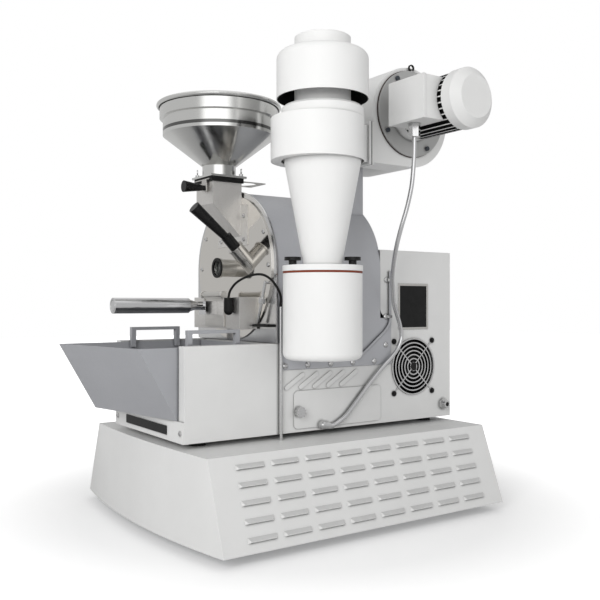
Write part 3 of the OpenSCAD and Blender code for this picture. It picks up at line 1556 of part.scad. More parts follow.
// Two thumb screws that clamp the can
can_knob_d = 29;
can_knob_t = 6;
can_stem_d = 14;
can_stem_l = 9;
module can_knob(s) {
  z = cone_bottom + gap;
  color(black) translate([cyclone_x, -cyclone_y, 0]) rotate([0, 0, view_turn])
    translate([s * knob_r, 0, 0]) {
      rod_z(can_stem_d, z, z + can_stem_l + over, 0, 0);
      rod_z(can_knob_d, z + can_stem_l, z + can_stem_l + can_knob_t, 0, 0);
      rod_z(knob_bore, can_lid_z - can_gasket_t - lug_t, z + over, 0, 0);
    }
}
module can_knob_front() {
  can_knob(-1);
}
module can_knob_rear() {
  can_knob(1);
}

// Button-head screws on the sides, the fan, the front plate and the strip, and the motor's lifting eye
head_dia = 9;
head_t = 3;
cover_screw_rise = 123.8;
cover_head_dia = 11;
fan_head_dia = 5.5;
cover_screw_shares = [-0.737, -0.399, -0.039, 0.322, 0.684];
edge_screw_shares = [[0.885, 0.449], [0.885, 0.613]];
tab_screw_share = [0.903, 0.825];
edge_screws = [for (p = edge_screw_shares) [p.x * cover_r, p.y * cabinet_h]];
tab_screw = [tab_screw_share.x * half_w, tab_screw_share.y * cabinet_h];
clip_half = 3;
clip_w = 7;
clip_t = 5.5;
plate_screw_r = 129;
plate_screw_turns = [1, 30, 150, 179, -28, -152];
strip_screw_x = 137;
strip_screw_rise = 17.3;
flange_screw_in = 12;
flange_screw_down = 21;
module side_screw(x, y, z, d) {
  translate([x, y, z]) rotate([0, 90, 0]) button(d);
}
module front_screw(x, y, z) {
  translate([x, y, z]) rotate([90, 0, 0]) button(head_dia);
}
module button(d) {
  difference() {
    intersection() {
      cylinder(d = d, h = head_t);
      translate([0, 0, head_t - d * 0.75]) sphere(d = d * 1.5);
    }
    translate([0, 0, head_t / 2]) cylinder(d = d / 2.5, h = head_t, $fn = 6);
  }
}
wing_nut_d = 8;
wing_nut_h = 5;
wing_l = 20;
wing_h = 17;
wing_t = 2.4;
module wing_nut(x, y) {
  translate([x, y, hopper_z + foot_t]) rotate([0, 0, -view_turn / 2]) {
    cylinder(d = wing_nut_d, h = wing_nut_h);
    for (s = [-1, 1])
      translate([s * wing_l / 4, 0, wing_h / 2 + wing_nut_h / 4]) rotate([90, 0, 0])
        intersection() {
          cylinder(d = wing_l / 2, h = wing_t, center = true);
          cube([wing_l, wing_h, wing_t], center = true);
        }
    translate([-wing_l / 4, -wing_t / 2, wing_nut_h / 2]) cube([wing_l / 2, wing_t, wing_h / 2]);
  }
}
module panel_screws() {
  color(steel) {
    for (side = [0, 1])
      mirror([side, 0, 0]) {
        for (share = cover_screw_shares)
          side_screw(cover_r, share * cover_r, floor_z + cover_screw_rise, cover_head_dia);
        for (p = edge_screws)
          side_screw(cover_r, p.x, floor_z + p.y, cover_head_dia);
        side_screw(half_w, tab_screw.x, floor_z + tab_screw.y, cover_head_dia);
        for (rise = [flange_low + flange_screw_in, flange_high - flange_screw_down])
          front_screw(flange_half - flange_screw_in, plate_face - chute_t, floor_z + rise);
        front_screw(strip_screw_x, -body_front - sheet, floor_z + strip_screw_rise);
      }
    for (y = [-fan_pitch / 2, fan_pitch / 2], z = [-fan_pitch / 2, fan_pitch / 2])
      side_screw(half_w + wire_d, fan_y + y, fan_z + z, fan_head_dia);
    for (s = [-1, 1])
      wing_nut(s * (foot_half - wing_nut_d), -hopper_y + s * (foot_half - wing_nut_d));
    for (a = plate_screw_turns)
      front_screw(plate_screw_r * cos(a), plate_face, plate_z + plate_screw_r * sin(a));
    for (p = [edge_screws[1], tab_screw])
      difference() {
        block(cover_r, cover_r + clip_t, p.x, capillary_y + clip_w / 2, floor_z + p.y - clip_half,
          floor_z + p.y + clip_half);
        rod_z(capillary_d + 2 * run_gap, floor_z, cabinet_top, capillary_x, capillary_y);
      }
  }
}

// Thin sensor tube clipped along the edge of the dark cover
capillary_d = 5;
capillary_x = cover_r + capillary_d / 2 + gap;
capillary_shares = [[0.945, 0.877], [0.945, 0.843], [0.945, 0.738], [0.945, 0.640], [0.945, 0.600], [0.925,
  0.565],
  [0.845, 0.527], [0.724, 0.488], [0.590, 0.443], [0.456, 0.400], [0.402, 0.380]];
capillary_points = [for (p = capillary_shares) [capillary_x, p.x * cover_r, floor_z + p.y * cabinet_h]];
capillary_y = capillary_points[0].y;
capillary_steps = 2;
module capillary_tube() {
  color(side_grey) swept(capillary_points, capillary_d, capillary_steps, cable_sides, [1, 0.2, 0.3]);
}

// Control panel on the left-hand side, with a bare display window
window_w = 76;
window_h = 40;
window_rise = 50;
knob_rise = -30;
switch_rise = -72;
switch_w = 22;
switch_h = 30;
control_bore = 6;
module control_panel() {
  z = floor_z + control_rise;
  color(side_grey) difference() {
    block(-half_w - control_t, -half_w, control_y - control_w / 2, control_y + control_w / 2,
      z - control_h / 2,
      z + control_h / 2);
    block(-half_w - control_t - over, -half_w - control_t + sheet, control_y - window_w / 2,
      control_y + window_w / 2,
      z + window_rise - window_h / 2, z + window_rise + window_h / 2);
    rod_x(control_bore + 2 * run_gap, -half_w - control_t - over, -half_w + over, control_y, z + knob_rise);
    block(-half_w - control_t - over, -half_w + over, control_y - switch_w / 2, control_y + switch_w / 2,
      z + switch_rise - switch_h / 2, z + switch_rise + switch_h / 2);
  }
}
dial_d = 34;
dial_l = 16;
dial_mark = 2;
module control_knob() {
  z = floor_z + control_rise + knob_rise;
  x = -half_w - control_t - gap;
  color(black) difference() {
    union() {
      rod_x(dial_d, x - dial_l, x, control_y, z);
      rod_x(control_bore, x - over, -half_w, control_y, z);
    }
    block(x - dial_l - over, x - dial_l + dial_mark, control_y - dial_mark / 2, control_y + dial_mark / 2,
      z + dial_d / 6, z + dial_d);
  }
}
rocker_r = 34;
rocker_turn = 7;
module power_switch() {
  z = floor_z + control_rise + switch_rise;
  x = -half_w - control_t;
  color(black) translate([x, control_y, z]) rotate([0, rocker_turn, 0]) difference() {
    block(-2 * sheet, 2 * sheet, -switch_w / 2 + gap, switch_w / 2 - gap, -switch_h / 2 + 4 * gap,
      switch_h / 2 - 4 * gap);
    rod_y(2 * rocker_r, -switch_w, switch_w, -rocker_r - sheet, 0);
  }
}

// Cooling tray: a perforated floor, four walls, a skewed scoop front and two loop handles
tray_gap = 1.5;
tray_lift = gap;
hole_d = 7;
hole_pitch = 16;
loop_w = 10;
loop_t = 6;
loop_h = 29;
loop_y0 = -296;
loop_l = 104;
tray_half = half_w - cool_side - tray_gap;
tray_z = strip_top + tray_lift;
tray_back = -138;
module tray_outline(lean, t) {
  near = -body_front - tray_near - lean;
  polygon([[tray_half - t, tray_back - t], [-tray_half + t, tray_back - t],
    [-tray_half + t, near - tray_skew + 1.4 * t], [tray_half - t, near + 1.4 * t]]);
}
module tray_block(t) {
  z0 = tray_z + t;
  z1 = tray_z + tray_h + (t > 0 ? over : 0);
  drop = tray_lean / tray_h;
  hull() {
    translate([0, 0, z0]) linear_extrude(base_skin) tray_outline(drop * t, t);
    translate([0, 0, z1 - base_skin]) linear_extrude(base_skin)
      tray_outline(tray_lean + (t > 0 ? drop * over : 0), t);
  }
}
module cooling_tray() {
  color(side_grey) {
    difference() {
      tray_block(0);
      tray_block(tray_wall);
      for (i = [0 : tray_holes_x - 1], j = [0 : tray_holes_y - 1])
        translate([(i - (tray_holes_x - 1) / 2) * hole_pitch, tray_back - hole_pitch - j * hole_pitch,
          tray_z - over])
          cylinder(d = hole_d, h = tray_wall + 2 * over, $fn = 6);
    }
    for (x = [-tray_half, tray_half - loop_w])
      translate([x, loop_y0, tray_z + tray_h - loop_w]) difference() {
        cube([loop_w, loop_l, loop_h + loop_w]);
        translate([-over, loop_t * 1.5, -over])
          cube([loop_w + 2 * over, loop_l - 3 * loop_t, loop_h + loop_w - loop_t + over]);
      }
  }
}

rubber_feet();
base_cabinet();
base_pan();
chassis_frame();
cooling_box();
front_strip();
side_panel_right();
side_panel_left();
rear_cover();
service_hatch();
fan_frame();
fan_grille();
rating_plate();
cable_glands();
drum_cover();
roast_chamber();
face_ring();
front_plate();
sight_tube();
sight_glass();
feed_chute();
hopper();
sampler_tube();
door_box();
probe_cable();
conduit_post();
vent_rod();
heater_rods();
drum_bearings();
gearmotor();
exhaust_duct();
blower_case();
gaskets();
blower_motor();
motor_cap();
terminal_box();
motor_conduit();
cyclone_body();
cyclone_hood();
cyclone_inlet();
panel_screws();
capillary_tube();
control_panel();
cooling_tray();
feed_gate();
gate_knob();
sampler();
discharge_door();
door_handle();
chaff_can();
can_knob_front();
can_knob_rear();
hatch_screw();
impeller();
fan_rotor();
drum();
drum_gear();
pinion();
control_knob();
power_switch();
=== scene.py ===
# %% [markdown]
# # A countertop drum coffee roaster
# The real machine is a steel drum that turns over heater rods inside an arched cover. A hopper feeds it
# from above, a hinged door drops the beans into a cooling tray, and a blower pulls the smoke away through
# a cyclone. Every solid comes from the imported model, so this scene only gives it finishes, free cables,
# two small pieces of painted shade and a studio. Starting from the imported model keeps each piece at its
# real size and place.

# %% Load the imported model
import json
import math

import bmesh
import bpy
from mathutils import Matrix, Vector


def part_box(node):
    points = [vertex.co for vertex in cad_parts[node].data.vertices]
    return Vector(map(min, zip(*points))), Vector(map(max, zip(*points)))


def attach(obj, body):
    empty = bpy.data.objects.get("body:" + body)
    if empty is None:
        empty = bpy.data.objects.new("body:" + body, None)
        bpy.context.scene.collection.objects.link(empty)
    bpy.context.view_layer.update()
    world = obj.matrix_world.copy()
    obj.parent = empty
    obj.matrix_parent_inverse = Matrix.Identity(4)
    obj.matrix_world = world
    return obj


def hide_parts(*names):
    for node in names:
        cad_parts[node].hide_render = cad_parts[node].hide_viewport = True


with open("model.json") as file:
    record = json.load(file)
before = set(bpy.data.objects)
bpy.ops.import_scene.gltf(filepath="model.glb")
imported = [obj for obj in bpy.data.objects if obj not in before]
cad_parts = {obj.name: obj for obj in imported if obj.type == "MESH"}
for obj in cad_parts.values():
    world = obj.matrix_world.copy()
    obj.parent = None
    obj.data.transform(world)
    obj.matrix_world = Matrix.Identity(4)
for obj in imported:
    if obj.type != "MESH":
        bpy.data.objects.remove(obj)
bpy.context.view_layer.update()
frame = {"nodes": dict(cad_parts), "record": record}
nodes = frame["nodes"]
MM = 0.001

# %% [markdown]
# ## The camera
# A product photograph of a machine like this is taken from about two arm lengths away, level with its
# middle, so that upright edges stay upright. The camera stands at the place that makes the model's
# corners fall where the picture shows them, and looks almost level at the cyclone side.

# %% Stand the camera where the photographer stood
CAMERA_PLACE = Vector((1363.25, -921.54, 413.75)) * MM
CAMERA_AZIMUTH = math.radians(55.18)
CAMERA_PITCH = math.radians(0.22)
FOCAL_SHARE = 797.55 / 600
FILM_WIDTH_MM = 36.0

lens = bpy.data.cameras.new("studio_lens")
lens.sensor_width = FILM_WIDTH_MM
lens.lens = lens.sensor_width * FOCAL_SHARE
lens.clip_start = 0.05
camera = bpy.data.objects.new("studio_camera", lens)
camera.location = CAMERA_PLACE
camera.rotation_euler = (math.pi / 2 + CAMERA_PITCH, 0, CAMERA_AZIMUTH)
bpy.context.scene.collection.objects.link(camera)
bpy.context.scene.camera = camera
print(f"lens {lens.lens:.1f} mm")

# %% [markdown]
# ## The two free cables
# A thin rubber lead runs from the temperature probe to its clip, and a bright steel conduit drops from the
# motor's terminal box to the service hatch. A cable takes a smooth line because it is stiff, so a curve
# through a few chosen points, rounded between them, is the natural model. The points are those that the
# solid model's own tubes follow. The curve's bevel is 1 m and each point's radius scales it down, so the
# radius that is written is the cable's own.

# %% Round a route between its points
STEPS_PER_STRETCH = 8
CABLE_BEVEL_STEPS = 4


def smooth_route(points):
    """Smooth cubic line through the points, with the ends held."""
    line = []
    last = len(points) - 1
    for i in range(last):
        p0, p1 = points[max(i - 1, 0)], points[i]
        p2, p3 = points[i + 1], points[min(i + 2, last)]
        for k in range(STEPS_PER_STRETCH):
            t = k / STEPS_PER_STRETCH
            square = 2 * p0 - 5 * p1 + 4 * p2 - p3
            cube = 3 * p1 - p0 - 3 * p2 + p3
            line.append((2 * p1 + (p2 - p0) * t + square * t ** 2 + cube * t ** 3) / 2)
    return line + [points[last]]


def length_of(line):
    """Length along a line of points."""
    return sum((b - a).length for a, b in zip(line, line[1:]))


def cable(name, points, diameter):
    """A round cable on a curve object, riding on the machine, and the line that it follows."""
    line = smooth_route([Vector(p) * MM for p in points])
    data = bpy.data.curves.new(name, "CURVE")
    data.dimensions = "3D"
    data.bevel_depth = 1.0
    data.bevel_resolution = CABLE_BEVEL_STEPS
    data.use_fill_caps = True
    strand = data.splines.new("POLY")
    strand.points.add(len(line) - 1)
    strand.use_smooth = True
    for spot, place in zip(strand.points, line):
        spot.co = (*place, 1)
        spot.radius = diameter / 2
    made = bpy.data.objects.new(name, data)
    bpy.context.scene.collection.objects.link(made)
    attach(made, "machine")
    return made, line


print(f"{STEPS_PER_STRETCH} steps between two points of a route")

# %% [markdown]
# ### The probe lead
# The lead leaves its black gland upwards, arches over and drops into the clip post. It is short and light,
# so it keeps the arch that it was bent to. A tube swept by hand would do as well, but a curve keeps its
# length easy to measure, and eleven points are enough for one arch.

# %% Lay the probe lead
LEAD_D = 4.5 * MM
LEAD_POINTS = [
    (65, -181, 412), (65, -181, 424), (69, -179, 438), (82, -172, 453), (104, -159, 464), (126, -146, 466),
    (147, -139, 456), (158, -131, 438), (156, -124, 424), (152.7, -122, 413), (152.7, -122, 407.2),
]
lead, lead_line = cable("probe_lead", LEAD_POINTS, LEAD_D)
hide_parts("probe_cable")
print(f"probe lead {length_of(lead_line):.3f} m")

# %% [markdown]
# ### The motor conduit
# The conduit hangs from the terminal box, swings in to the cabinet as it falls and then slants forward to
# the hatch. A steel sleeve is stiff, so every bend is wide. Its many points hold it just off the cabinet
# all the way down.

# %% Hang the motor conduit
CONDUIT_D = 8.5 * MM
CONDUIT_POINTS = [
    (248, 118, 740), (248, 118, 726), (247, 118, 693), (244, 118, 660), (240, 117, 631), (233, 113, 596),
    (225, 107, 562), (215, 104, 528), (203, 107, 497), (190, 114, 467), (179, 124, 440), (170, 135, 414),
    (165, 148, 391), (162, 159, 368), (161, 163, 346), (160, 156, 325), (158.5, 140, 306), (157, 113, 283),
    (156.5, 87, 259), (156.5, 66, 238), (156.5, 47, 219), (156.5, 26, 199), (156.5, 9, 188), (156.5, -6, 182),
    (156.5, -18, 182.9), (156.5, -26, 184.3),
]
conduit, conduit_line = cable("motor_flex", CONDUIT_POINTS, CONDUIT_D)
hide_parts("motor_conduit")
print(f"motor conduit {length_of(conduit_line):.3f} m")

# %% [markdown]
# ## Helpers for the finishes
# A finish is a small graph of nodes. One function adds a node, sets what it is told and links what it is
# given, so that each material below reads as a short list of what makes up its surface. Colours are
# written as the sRGB hex that an eye or a swatch would give, and one function turns them to light.

# %% Add nodes and convert colours
def srgb(code):
    """Linear colour of an sRGB hex code."""
    parts = [int(code[i:i + 2], 16) / 255 for i in (1, 3, 5)]
    return (*[c / 12.92 if c <= 0.04045 else ((c + 0.055) / 1.055) ** 2.4 for c in parts], 1.0)


def add(tree, kind, inputs=None, **settings):
    """Adds one shader node, sets its settings and fills or links its inputs."""
    made = tree.nodes.new("ShaderNode" + kind)
    for name, value in settings.items():
        setattr(made, name, value)
    for name, value in (inputs or {}).items():
        if isinstance(value, bpy.types.NodeSocket):
            tree.links.new(value, made.inputs[name])
        else:
            made.inputs[name].default_value = value
    return made


def finish_of(name, **values):
    """A new material with its shader's plain values set, ready for its pattern."""
    material = bpy.data.materials.new(name)
    material.use_nodes = True
    tree = material.node_tree
    skin = tree.nodes["Principled BSDF"]
    for socket, value in values.items():
        skin.inputs[socket.replace("_", " ")].default_value = value
    return material, tree, skin


def clothe(tree, skin, colour, roughness, normal):
    """Feeds a pattern's colour, roughness and bump to the shader."""
    tree.links.new(colour, skin.inputs["Base Color"])
    tree.links.new(roughness, skin.inputs["Roughness"])
    tree.links.new(normal, skin.inputs["Normal"])


def per_mm(size):
    """Texture scale at which a pattern repeats every size millimetres."""
    return 1 / (size * MM)


print(f"mid grey #808080 gives {srgb('#808080')[0]:.3f} of white's light")

# %% [markdown]
# ## Shared patterns
# No real surface has one flat value. Coats and metals vary in soft clouds, sharp edges get a painted
# highlight, and tight corners get painted shade, where light doesn't reach them. Noise gives the
# clouds. A rounded normal, held against the true one, finds the edges, and the share of a small sphere
# that is blocked finds the corners. The clouds read the piece's own coordinates, so they move with it. A
# Mix node that mixes colours takes its share on input 0 and its colours on 6 and 7, and gives output 2.

# %% Find edges and corners
# Most of a noise lies between these two values.
NOISE_SPAN = {"From Min": 0.3, "From Max": 0.7}
# Normals that agree by less than 0.99 start an edge, and at 0.8 it is full.
EDGE_SPAN = {"From Min": 0.99, "From Max": 0.8, "To Min": 0.0, "To Max": 1.0}
# A corner is full where only 0.35 of the sphere is open, and gone where 0.95 is.
CORNER_SPAN = {"From Min": 0.35, "From Max": 0.95, "To Min": 1.0, "To Max": 0.0}
EDGE_SAMPLES = 4
CORNER_SAMPLES = 6


def edge_highlight_share(tree, radius):
    """One along sharp edges, for a painted highlight, and nothing on flats; the normal is rounded over radius
    millimetres.
    """
    rounded = add(tree, "Bevel", {"Radius": radius * MM}, samples=EDGE_SAMPLES).outputs["Normal"]
    true = add(tree, "NewGeometry").outputs["Normal"]
    facing = add(tree, "VectorMath", {0: rounded, 1: true}, operation="DOT_PRODUCT").outputs["Value"]
    return add(tree, "MapRange", {"Value": facing, **EDGE_SPAN}).outputs["Result"], rounded


def corner_shade_share(tree, reach):
    """One in tight corners and nothing in the open, seen within reach millimetres, for painted shade."""
    open_sky = add(tree, "AmbientOcclusion", {"Distance": reach * MM}, samples=CORNER_SAMPLES).outputs["AO"]
    return add(tree, "MapRange", {"Value": open_sky, **CORNER_SPAN}).outputs["Result"]


print(f"edges from {EDGE_SAMPLES} samples, corners from {CORNER_SAMPLES}")

# %% [markdown]
# ## Powder coat
# The cabinets, tray, cyclone and blower are folded or rolled steel with a baked polyester powder coat.
# The powder melts into a satin skin with a faint orange peel about a millimetre and a half across, and
# it draws back a little from sharp folds, which are left rounded. A bump of that size and a rounded
# normal at the edges give both. The folds also get a painted highlight and the corners painted shade,
# and no paint chips are needed on a machine this new.

# %% Write the powder coat
PEEL_MM = 1.6
SHEEN_MM = 3 * PEEL_MM
DUST_MM = 60
FOLD_MM = 1.1
# Reach of the painted shade in corners, in millimetres.
CORNER_SHADE_MM = 6
PEEL_DEPTH = 0.2 * MM
DUST_SHARE = 0.14
SATIN_LOW, SATIN_HIGH = -0.04, 0.06
POLYESTER_IOR = 1.5


def powder_coat(name, colour, edge, roughness, corner_shade_colour="#6c6c6b"):
    """Satin coat with a fine peel and paler wide clouds, a painted highlight on its folds and painted shade
    in its corners.
    """
    material, tree, skin = finish_of(name, Roughness=roughness, IOR=POLYESTER_IOR)
    place = add(tree, "TexCoord").outputs["Object"]
    painted_fold_light, rounded = edge_highlight_share(tree, FOLD_MM)
    dust = add(tree, "TexNoise", {"Vector": place, "Scale": per_mm(DUST_MM), "Detail": 4.0}).outputs["Fac"]
    peel = add(tree, "TexNoise", {"Vector": place, "Scale": per_mm(PEEL_MM), "Detail": 2.0}).outputs["Fac"]
    sheen = add(tree, "TexNoise", {"Vector": place, "Scale": per_mm(SHEEN_MM), "Detail": 2.0}).outputs["Fac"]
    cloud = add(tree, "MapRange", {
        "Value": dust, **NOISE_SPAN, "To Min": 0.0, "To Max": DUST_SHARE,
    }).outputs["Result"]
    paler = add(tree, "Mix", {0: cloud, 6: srgb(colour), 7: srgb(edge)}, data_type="RGBA").outputs[2]
    # Painted shade: tight corners are mixed towards the dark corner colour.
    corners = corner_shade_share(tree, CORNER_SHADE_MM)
    corner_shaded = add(tree, "Mix", {0: corners, 6: paler, 7: srgb(corner_shade_colour)}, data_type="RGBA").outputs[2]
    # Painted highlight: folds are mixed towards the paler colour.
    coat = add(tree, "Mix", {0: painted_fold_light, 6: corner_shaded, 7: srgb(edge)}, data_type="RGBA").outputs[2]
    satin = add(tree, "MapRange", {
        "Value": sheen, **NOISE_SPAN, "To Min": roughness + SATIN_LOW, "To Max": roughness + SATIN_HIGH,
    }).outputs["Result"]
    bump = add(tree, "Bump", {"Height": peel, "Strength": 0.06, "Distance": PEEL_DEPTH, "Normal": rounded})
    clothe(tree, skin, coat, satin, bump.outputs["Normal"])
    return material


print(f"peel of {PEEL_MM} mm, clouds of {DUST_MM} mm")

# %% Make the powder coats
# A coat's fourth colour, where given, is the painted shade in its corners.
finishes = {
    # Cabinets: pale and even, with a wide soft highlight.
    "light_powder": powder_coat("light_grey_polyester_powder_coat", "#d5d5d4", "#ececeb", 0.42),
    # Cyclone and blower: nearly white and a little glossier, so that round parts shade smoothly.
    "white_powder": powder_coat("off_white_polyester_powder_coat", "#e4e4e3", "#f0f0ef", 0.36, "#9c9c9b"),
    # Cover, duct and control panel: a mid grey that stays dull beside the steel.
    "grey_powder": powder_coat("mid_grey_polyester_powder_coat", "#adaeb2", "#c2c3c6", 0.42, "#595a5e"),
    # Cooling tray: the cover's grey, darkened as painted shade.
    "tray_powder": powder_coat("tray_shaded_grey_powder_coat", "#9c9da1", "#b2b3b6", 0.42, "#4f5054"),
    # Upper faces of the louvres: darker, as painted shade, so that the slots stand out.
    "louvre_back": powder_coat("louvre_shaded_powder_coat", "#bcbcbb", "#ececeb", 0.5, "#5c5c5b"),
    # Motor, its cap and its terminal box: pale, between the cabinet's coat and the cyclone's.
    "motor_powder": powder_coat("motor_grey_powder_coat", "#dcdcdb", "#e8e8e7", 0.38, "#6c6c6b"),
    # Motor flange: a darker grey that sets it off from the blower case, partly painted shade under the motor.
    "flange_grey": powder_coat("flange_grey_powder_coat", "#a9a9a8", "#bdbdbc", 0.4, "#4c4c4b"),
}
print(f"{len(finishes)} powder coats")

# %% [markdown]
# ## Metals
# Brushed steel is scratched one way by a belt, so its shine smears across the scratches. A noise that is
# long one way and fine the other drives both a small bump and the roughness. Blasted and polished pieces
# use the same graph with a grain that is equal every way. Grain is drawn coarser than the real hundredths
# of a millimetre, because finer lines would vanish at this distance.

# %% Write the grained metal
BELT_GRAIN = (40, 0.8, 0.8)
METAL_CLOUD_MM = 45
METAL_EDGE_MM = 0.6
# Colour of the painted highlight on metal edges.
METAL_EDGE = "#f0f0ee"
SCRATCH_DEPTH = 0.1 * MM
STAIN_SHARE = 0.6
METAL_SMOOTHEST, METAL_ROUGHEST = 0.75, 1.3


def metal(name, colour, roughness, grain=BELT_GRAIN, depth=0.1, tint=None):
    """Metal whose scratches have the three sizes of grain, in millimetres, along X, Y and Z."""
    material, tree, skin = finish_of(name, Metallic=1.0, Roughness=roughness)
    place = add(tree, "TexCoord").outputs["Object"]
    spread = add(tree, "Mapping", {
        "Vector": place, "Scale": Vector([1 / g for g in grain]) / MM,
    }).outputs["Vector"]
    lines = add(tree, "TexNoise", {"Vector": spread, "Scale": 1.0, "Detail": 2.0}).outputs["Fac"]
    stain = add(tree, "TexNoise", {
        "Vector": place, "Scale": per_mm(METAL_CLOUD_MM), "Detail": 3.0,
    }).outputs["Fac"]
    painted_edge_light, rounded = edge_highlight_share(tree, METAL_EDGE_MM)
    cloud = add(tree, "MapRange", {
        "Value": stain, **NOISE_SPAN, "To Min": 0.0, "To Max": STAIN_SHARE,
    }).outputs["Result"]
    base = add(tree, "Mix", {0: cloud, 6: srgb(colour), 7: srgb(tint or colour)}, data_type="RGBA").outputs[2]
    # Painted highlight: edges are mixed towards near white.
    bright = add(tree, "Mix", {0: painted_edge_light, 6: base, 7: srgb(METAL_EDGE)}, data_type="RGBA").outputs[2]
    shine = add(tree, "MapRange", {
        "Value": lines, **NOISE_SPAN,
        "To Min": roughness * METAL_SMOOTHEST, "To Max": roughness * METAL_ROUGHEST,
    }).outputs["Result"]
    bump = add(tree, "Bump", {
        "Height": lines, "Strength": depth, "Distance": SCRATCH_DEPTH, "Normal": rounded,
    })
    clothe(tree, skin, bright, shine, bump.outputs["Normal"])
    return material


print(f"belt grain {BELT_GRAIN[0]} mm long and {BELT_GRAIN[1]} mm wide")

# %% Make the metals
finishes.update({
    # Sight tube, feed gate and discharge door: long scratches that smear the shine.
    "brushed_stainless": metal("brushed_stainless_steel", "#cfcdc9", 0.36),
    # Front plate: a mirror, a little warm, that shows what stands before it.
    "mirror_stainless": metal("mirror_polished_stainless_steel", "#d9d6d1", 0.08, (30, 30, 30), 0.02),
    # Feed chute and discharge box: an even, dull shimmer with no direction.
    "blasted_stainless": metal("fine_blasted_stainless_steel", "#e6e4e1", 0.5, (3, 3, 3), 0.05),
    # Sampler and its barrel: clean highlights that run along the tube.
    "polished_tube": metal("polished_stainless_tube", "#c6c4c0", 0.2, (1.2, 1.2, 1.2), 0.03),
    # Face ring, glands, rods, screws and wire guard: a soft sheen with upright grain.
    "satin_stainless": metal("satin_stainless_steel", "#d2d2d2", 0.2, (2, 2, 30)),
    # Door handle and motor conduit: hard bright and dark lines side by side.
    "chromed_steel": metal("polished_chromed_steel", "#d4d4d5", 0.12, (1, 40, 1)),
    # Blower wheel: the rough grey of a casting.
    "impeller_aluminium": metal("cast_aluminium", "#a9a9a8", 0.45, (2, 2, 2), 0.3),
    # Frame, chamber and base pan: a cool, dull grey with faint clouds.
    "zinc_steel": metal("zinc_plated_steel", "#b4b6b8", 0.38, (8, 8, 8), 0.08, "#a3a7ab"),
    # Drum: dark, and browned by heat.
    "drum_steel": metal("rolled_carbon_steel", "#77726c", 0.4, (8, 60, 8), 0.2, "#5c544c"),
    # Drum gear and pinion: grey with fine cutter marks.
    "gear_steel": metal("machined_gear_steel", "#8d8b86", 0.34, (1, 12, 1), 0.15),
    # Drum bearings: bright and smooth.
    "bearing_steel": metal("ground_bearing_steel", "#c9c9ca", 0.12, (1, 6, 1), 0.05),
    # Heater rods: brown with violet clouds, which heat leaves on steel.
    "heater_sheath": metal("heat_tinted_heater_sheath", "#6f6259", 0.42, (3, 30, 3), 0.15, "#4d4652"),
})
print(f"{len(finishes)} finishes with the metals")

# %% [markdown]
# ### The spun hopper
# The hopper is an aluminium disc that was pressed over a form while it turned on a lathe, so its scratches
# run in rings. Here the noise reads the distance from the hopper's axis and the height, and nothing round
# the axis, which turns it into rings on the cone and on the rim alike. A pressed groove runs round the
# collar. It is too fine to model, so its shade is painted as a thin dark band at its height.

# %% Spin the hopper's finish
RING_MM = 1.2
SWIRL_MM = 14 * RING_MM
GROOVE_MM = 3.4
GROOVE_FULL_MM = 0.8 * GROOVE_MM
GROOVE_BELOW_RIM = 52
GROOVE_SHADE = "#6a6a69"
# Colour of the painted highlight on the hopper's edges.
SPUN_EDGE = "#f4f4f2"
SPUN_SMOOTHEST, SPUN_ROUGHEST = 0.8, 1.35


def spun(name, colour, roughness, centre_x, centre_y, groove_z):
    """Metal turned about an upright axis, with a groove's shade painted as a dark band at one height."""
    material, tree, skin = finish_of(name, Metallic=1.0, Roughness=roughness)
    place = add(tree, "TexCoord").outputs["Object"]
    offset = add(tree, "VectorMath", {0: place, 1: (centre_x, centre_y, 0)}, operation="SUBTRACT")
    parts = add(tree, "SeparateXYZ", {0: offset.outputs[0]})
    flat = add(tree, "CombineXYZ", {0: parts.outputs[0], 1: parts.outputs[1]})
    radius = add(tree, "VectorMath", {0: flat.outputs[0]}, operation="LENGTH").outputs["Value"]
    turned = add(tree, "CombineXYZ", {0: radius, 1: parts.outputs[2]}).outputs[0]
    rings = add(tree, "TexNoise", {"Vector": turned, "Scale": per_mm(RING_MM), "Detail": 3.0}).outputs["Fac"]
    swirl = add(tree, "TexNoise", {"Vector": turned, "Scale": per_mm(SWIRL_MM), "Detail": 2.0}).outputs["Fac"]
    painted_edge_light, rounded = edge_highlight_share(tree, METAL_EDGE_MM)
    above = add(tree, "Math", {0: parts.outputs[2], 1: groove_z}, operation="SUBTRACT").outputs[0]
    away = add(tree, "Math", {0: above}, operation="ABSOLUTE").outputs[0]
    shade = add(tree, "MapRange", {
        "Value": away, "From Min": GROOVE_FULL_MM * MM, "From Max": GROOVE_MM * MM,
        "To Min": 1.0, "To Max": 0.0,
    }).outputs["Result"]
    # Painted shade: a thin dark band at the groove's height.
    groove_shaded = add(tree, "Mix", {
        0: shade, 6: srgb(colour), 7: srgb(GROOVE_SHADE),
    }, data_type="RGBA").outputs[2]
    # Painted highlight: edges are mixed towards near white.
    bright = add(tree, "Mix", {0: painted_edge_light, 6: groove_shaded, 7: srgb(SPUN_EDGE)}, data_type="RGBA").outputs[2]
    shine = add(tree, "MapRange", {
        "Value": swirl, **NOISE_SPAN,
        "To Min": roughness * SPUN_SMOOTHEST, "To Max": roughness * SPUN_ROUGHEST,
    }).outputs["Result"]
    bump = add(tree, "Bump", {
        "Height": rings, "Strength": 0.12, "Distance": SCRATCH_DEPTH, "Normal": rounded,
    })
    clothe(tree, skin, bright, shine, bump.outputs["Normal"])
    return material


hopper_low, hopper_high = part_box("hopper")
hopper_axis = (hopper_low + hopper_high) / 2
finishes["spun_aluminium"] = spun(
    "spun_aluminium", "#dcdcda", 0.16, hopper_axis.x, hopper_axis.y, hopper_high.z - GROOVE_BELOW_RIM * MM
)
print(f"hopper axis at {hopper_axis.x / MM:.0f}, {hopper_axis.y / MM:.0f} mm")

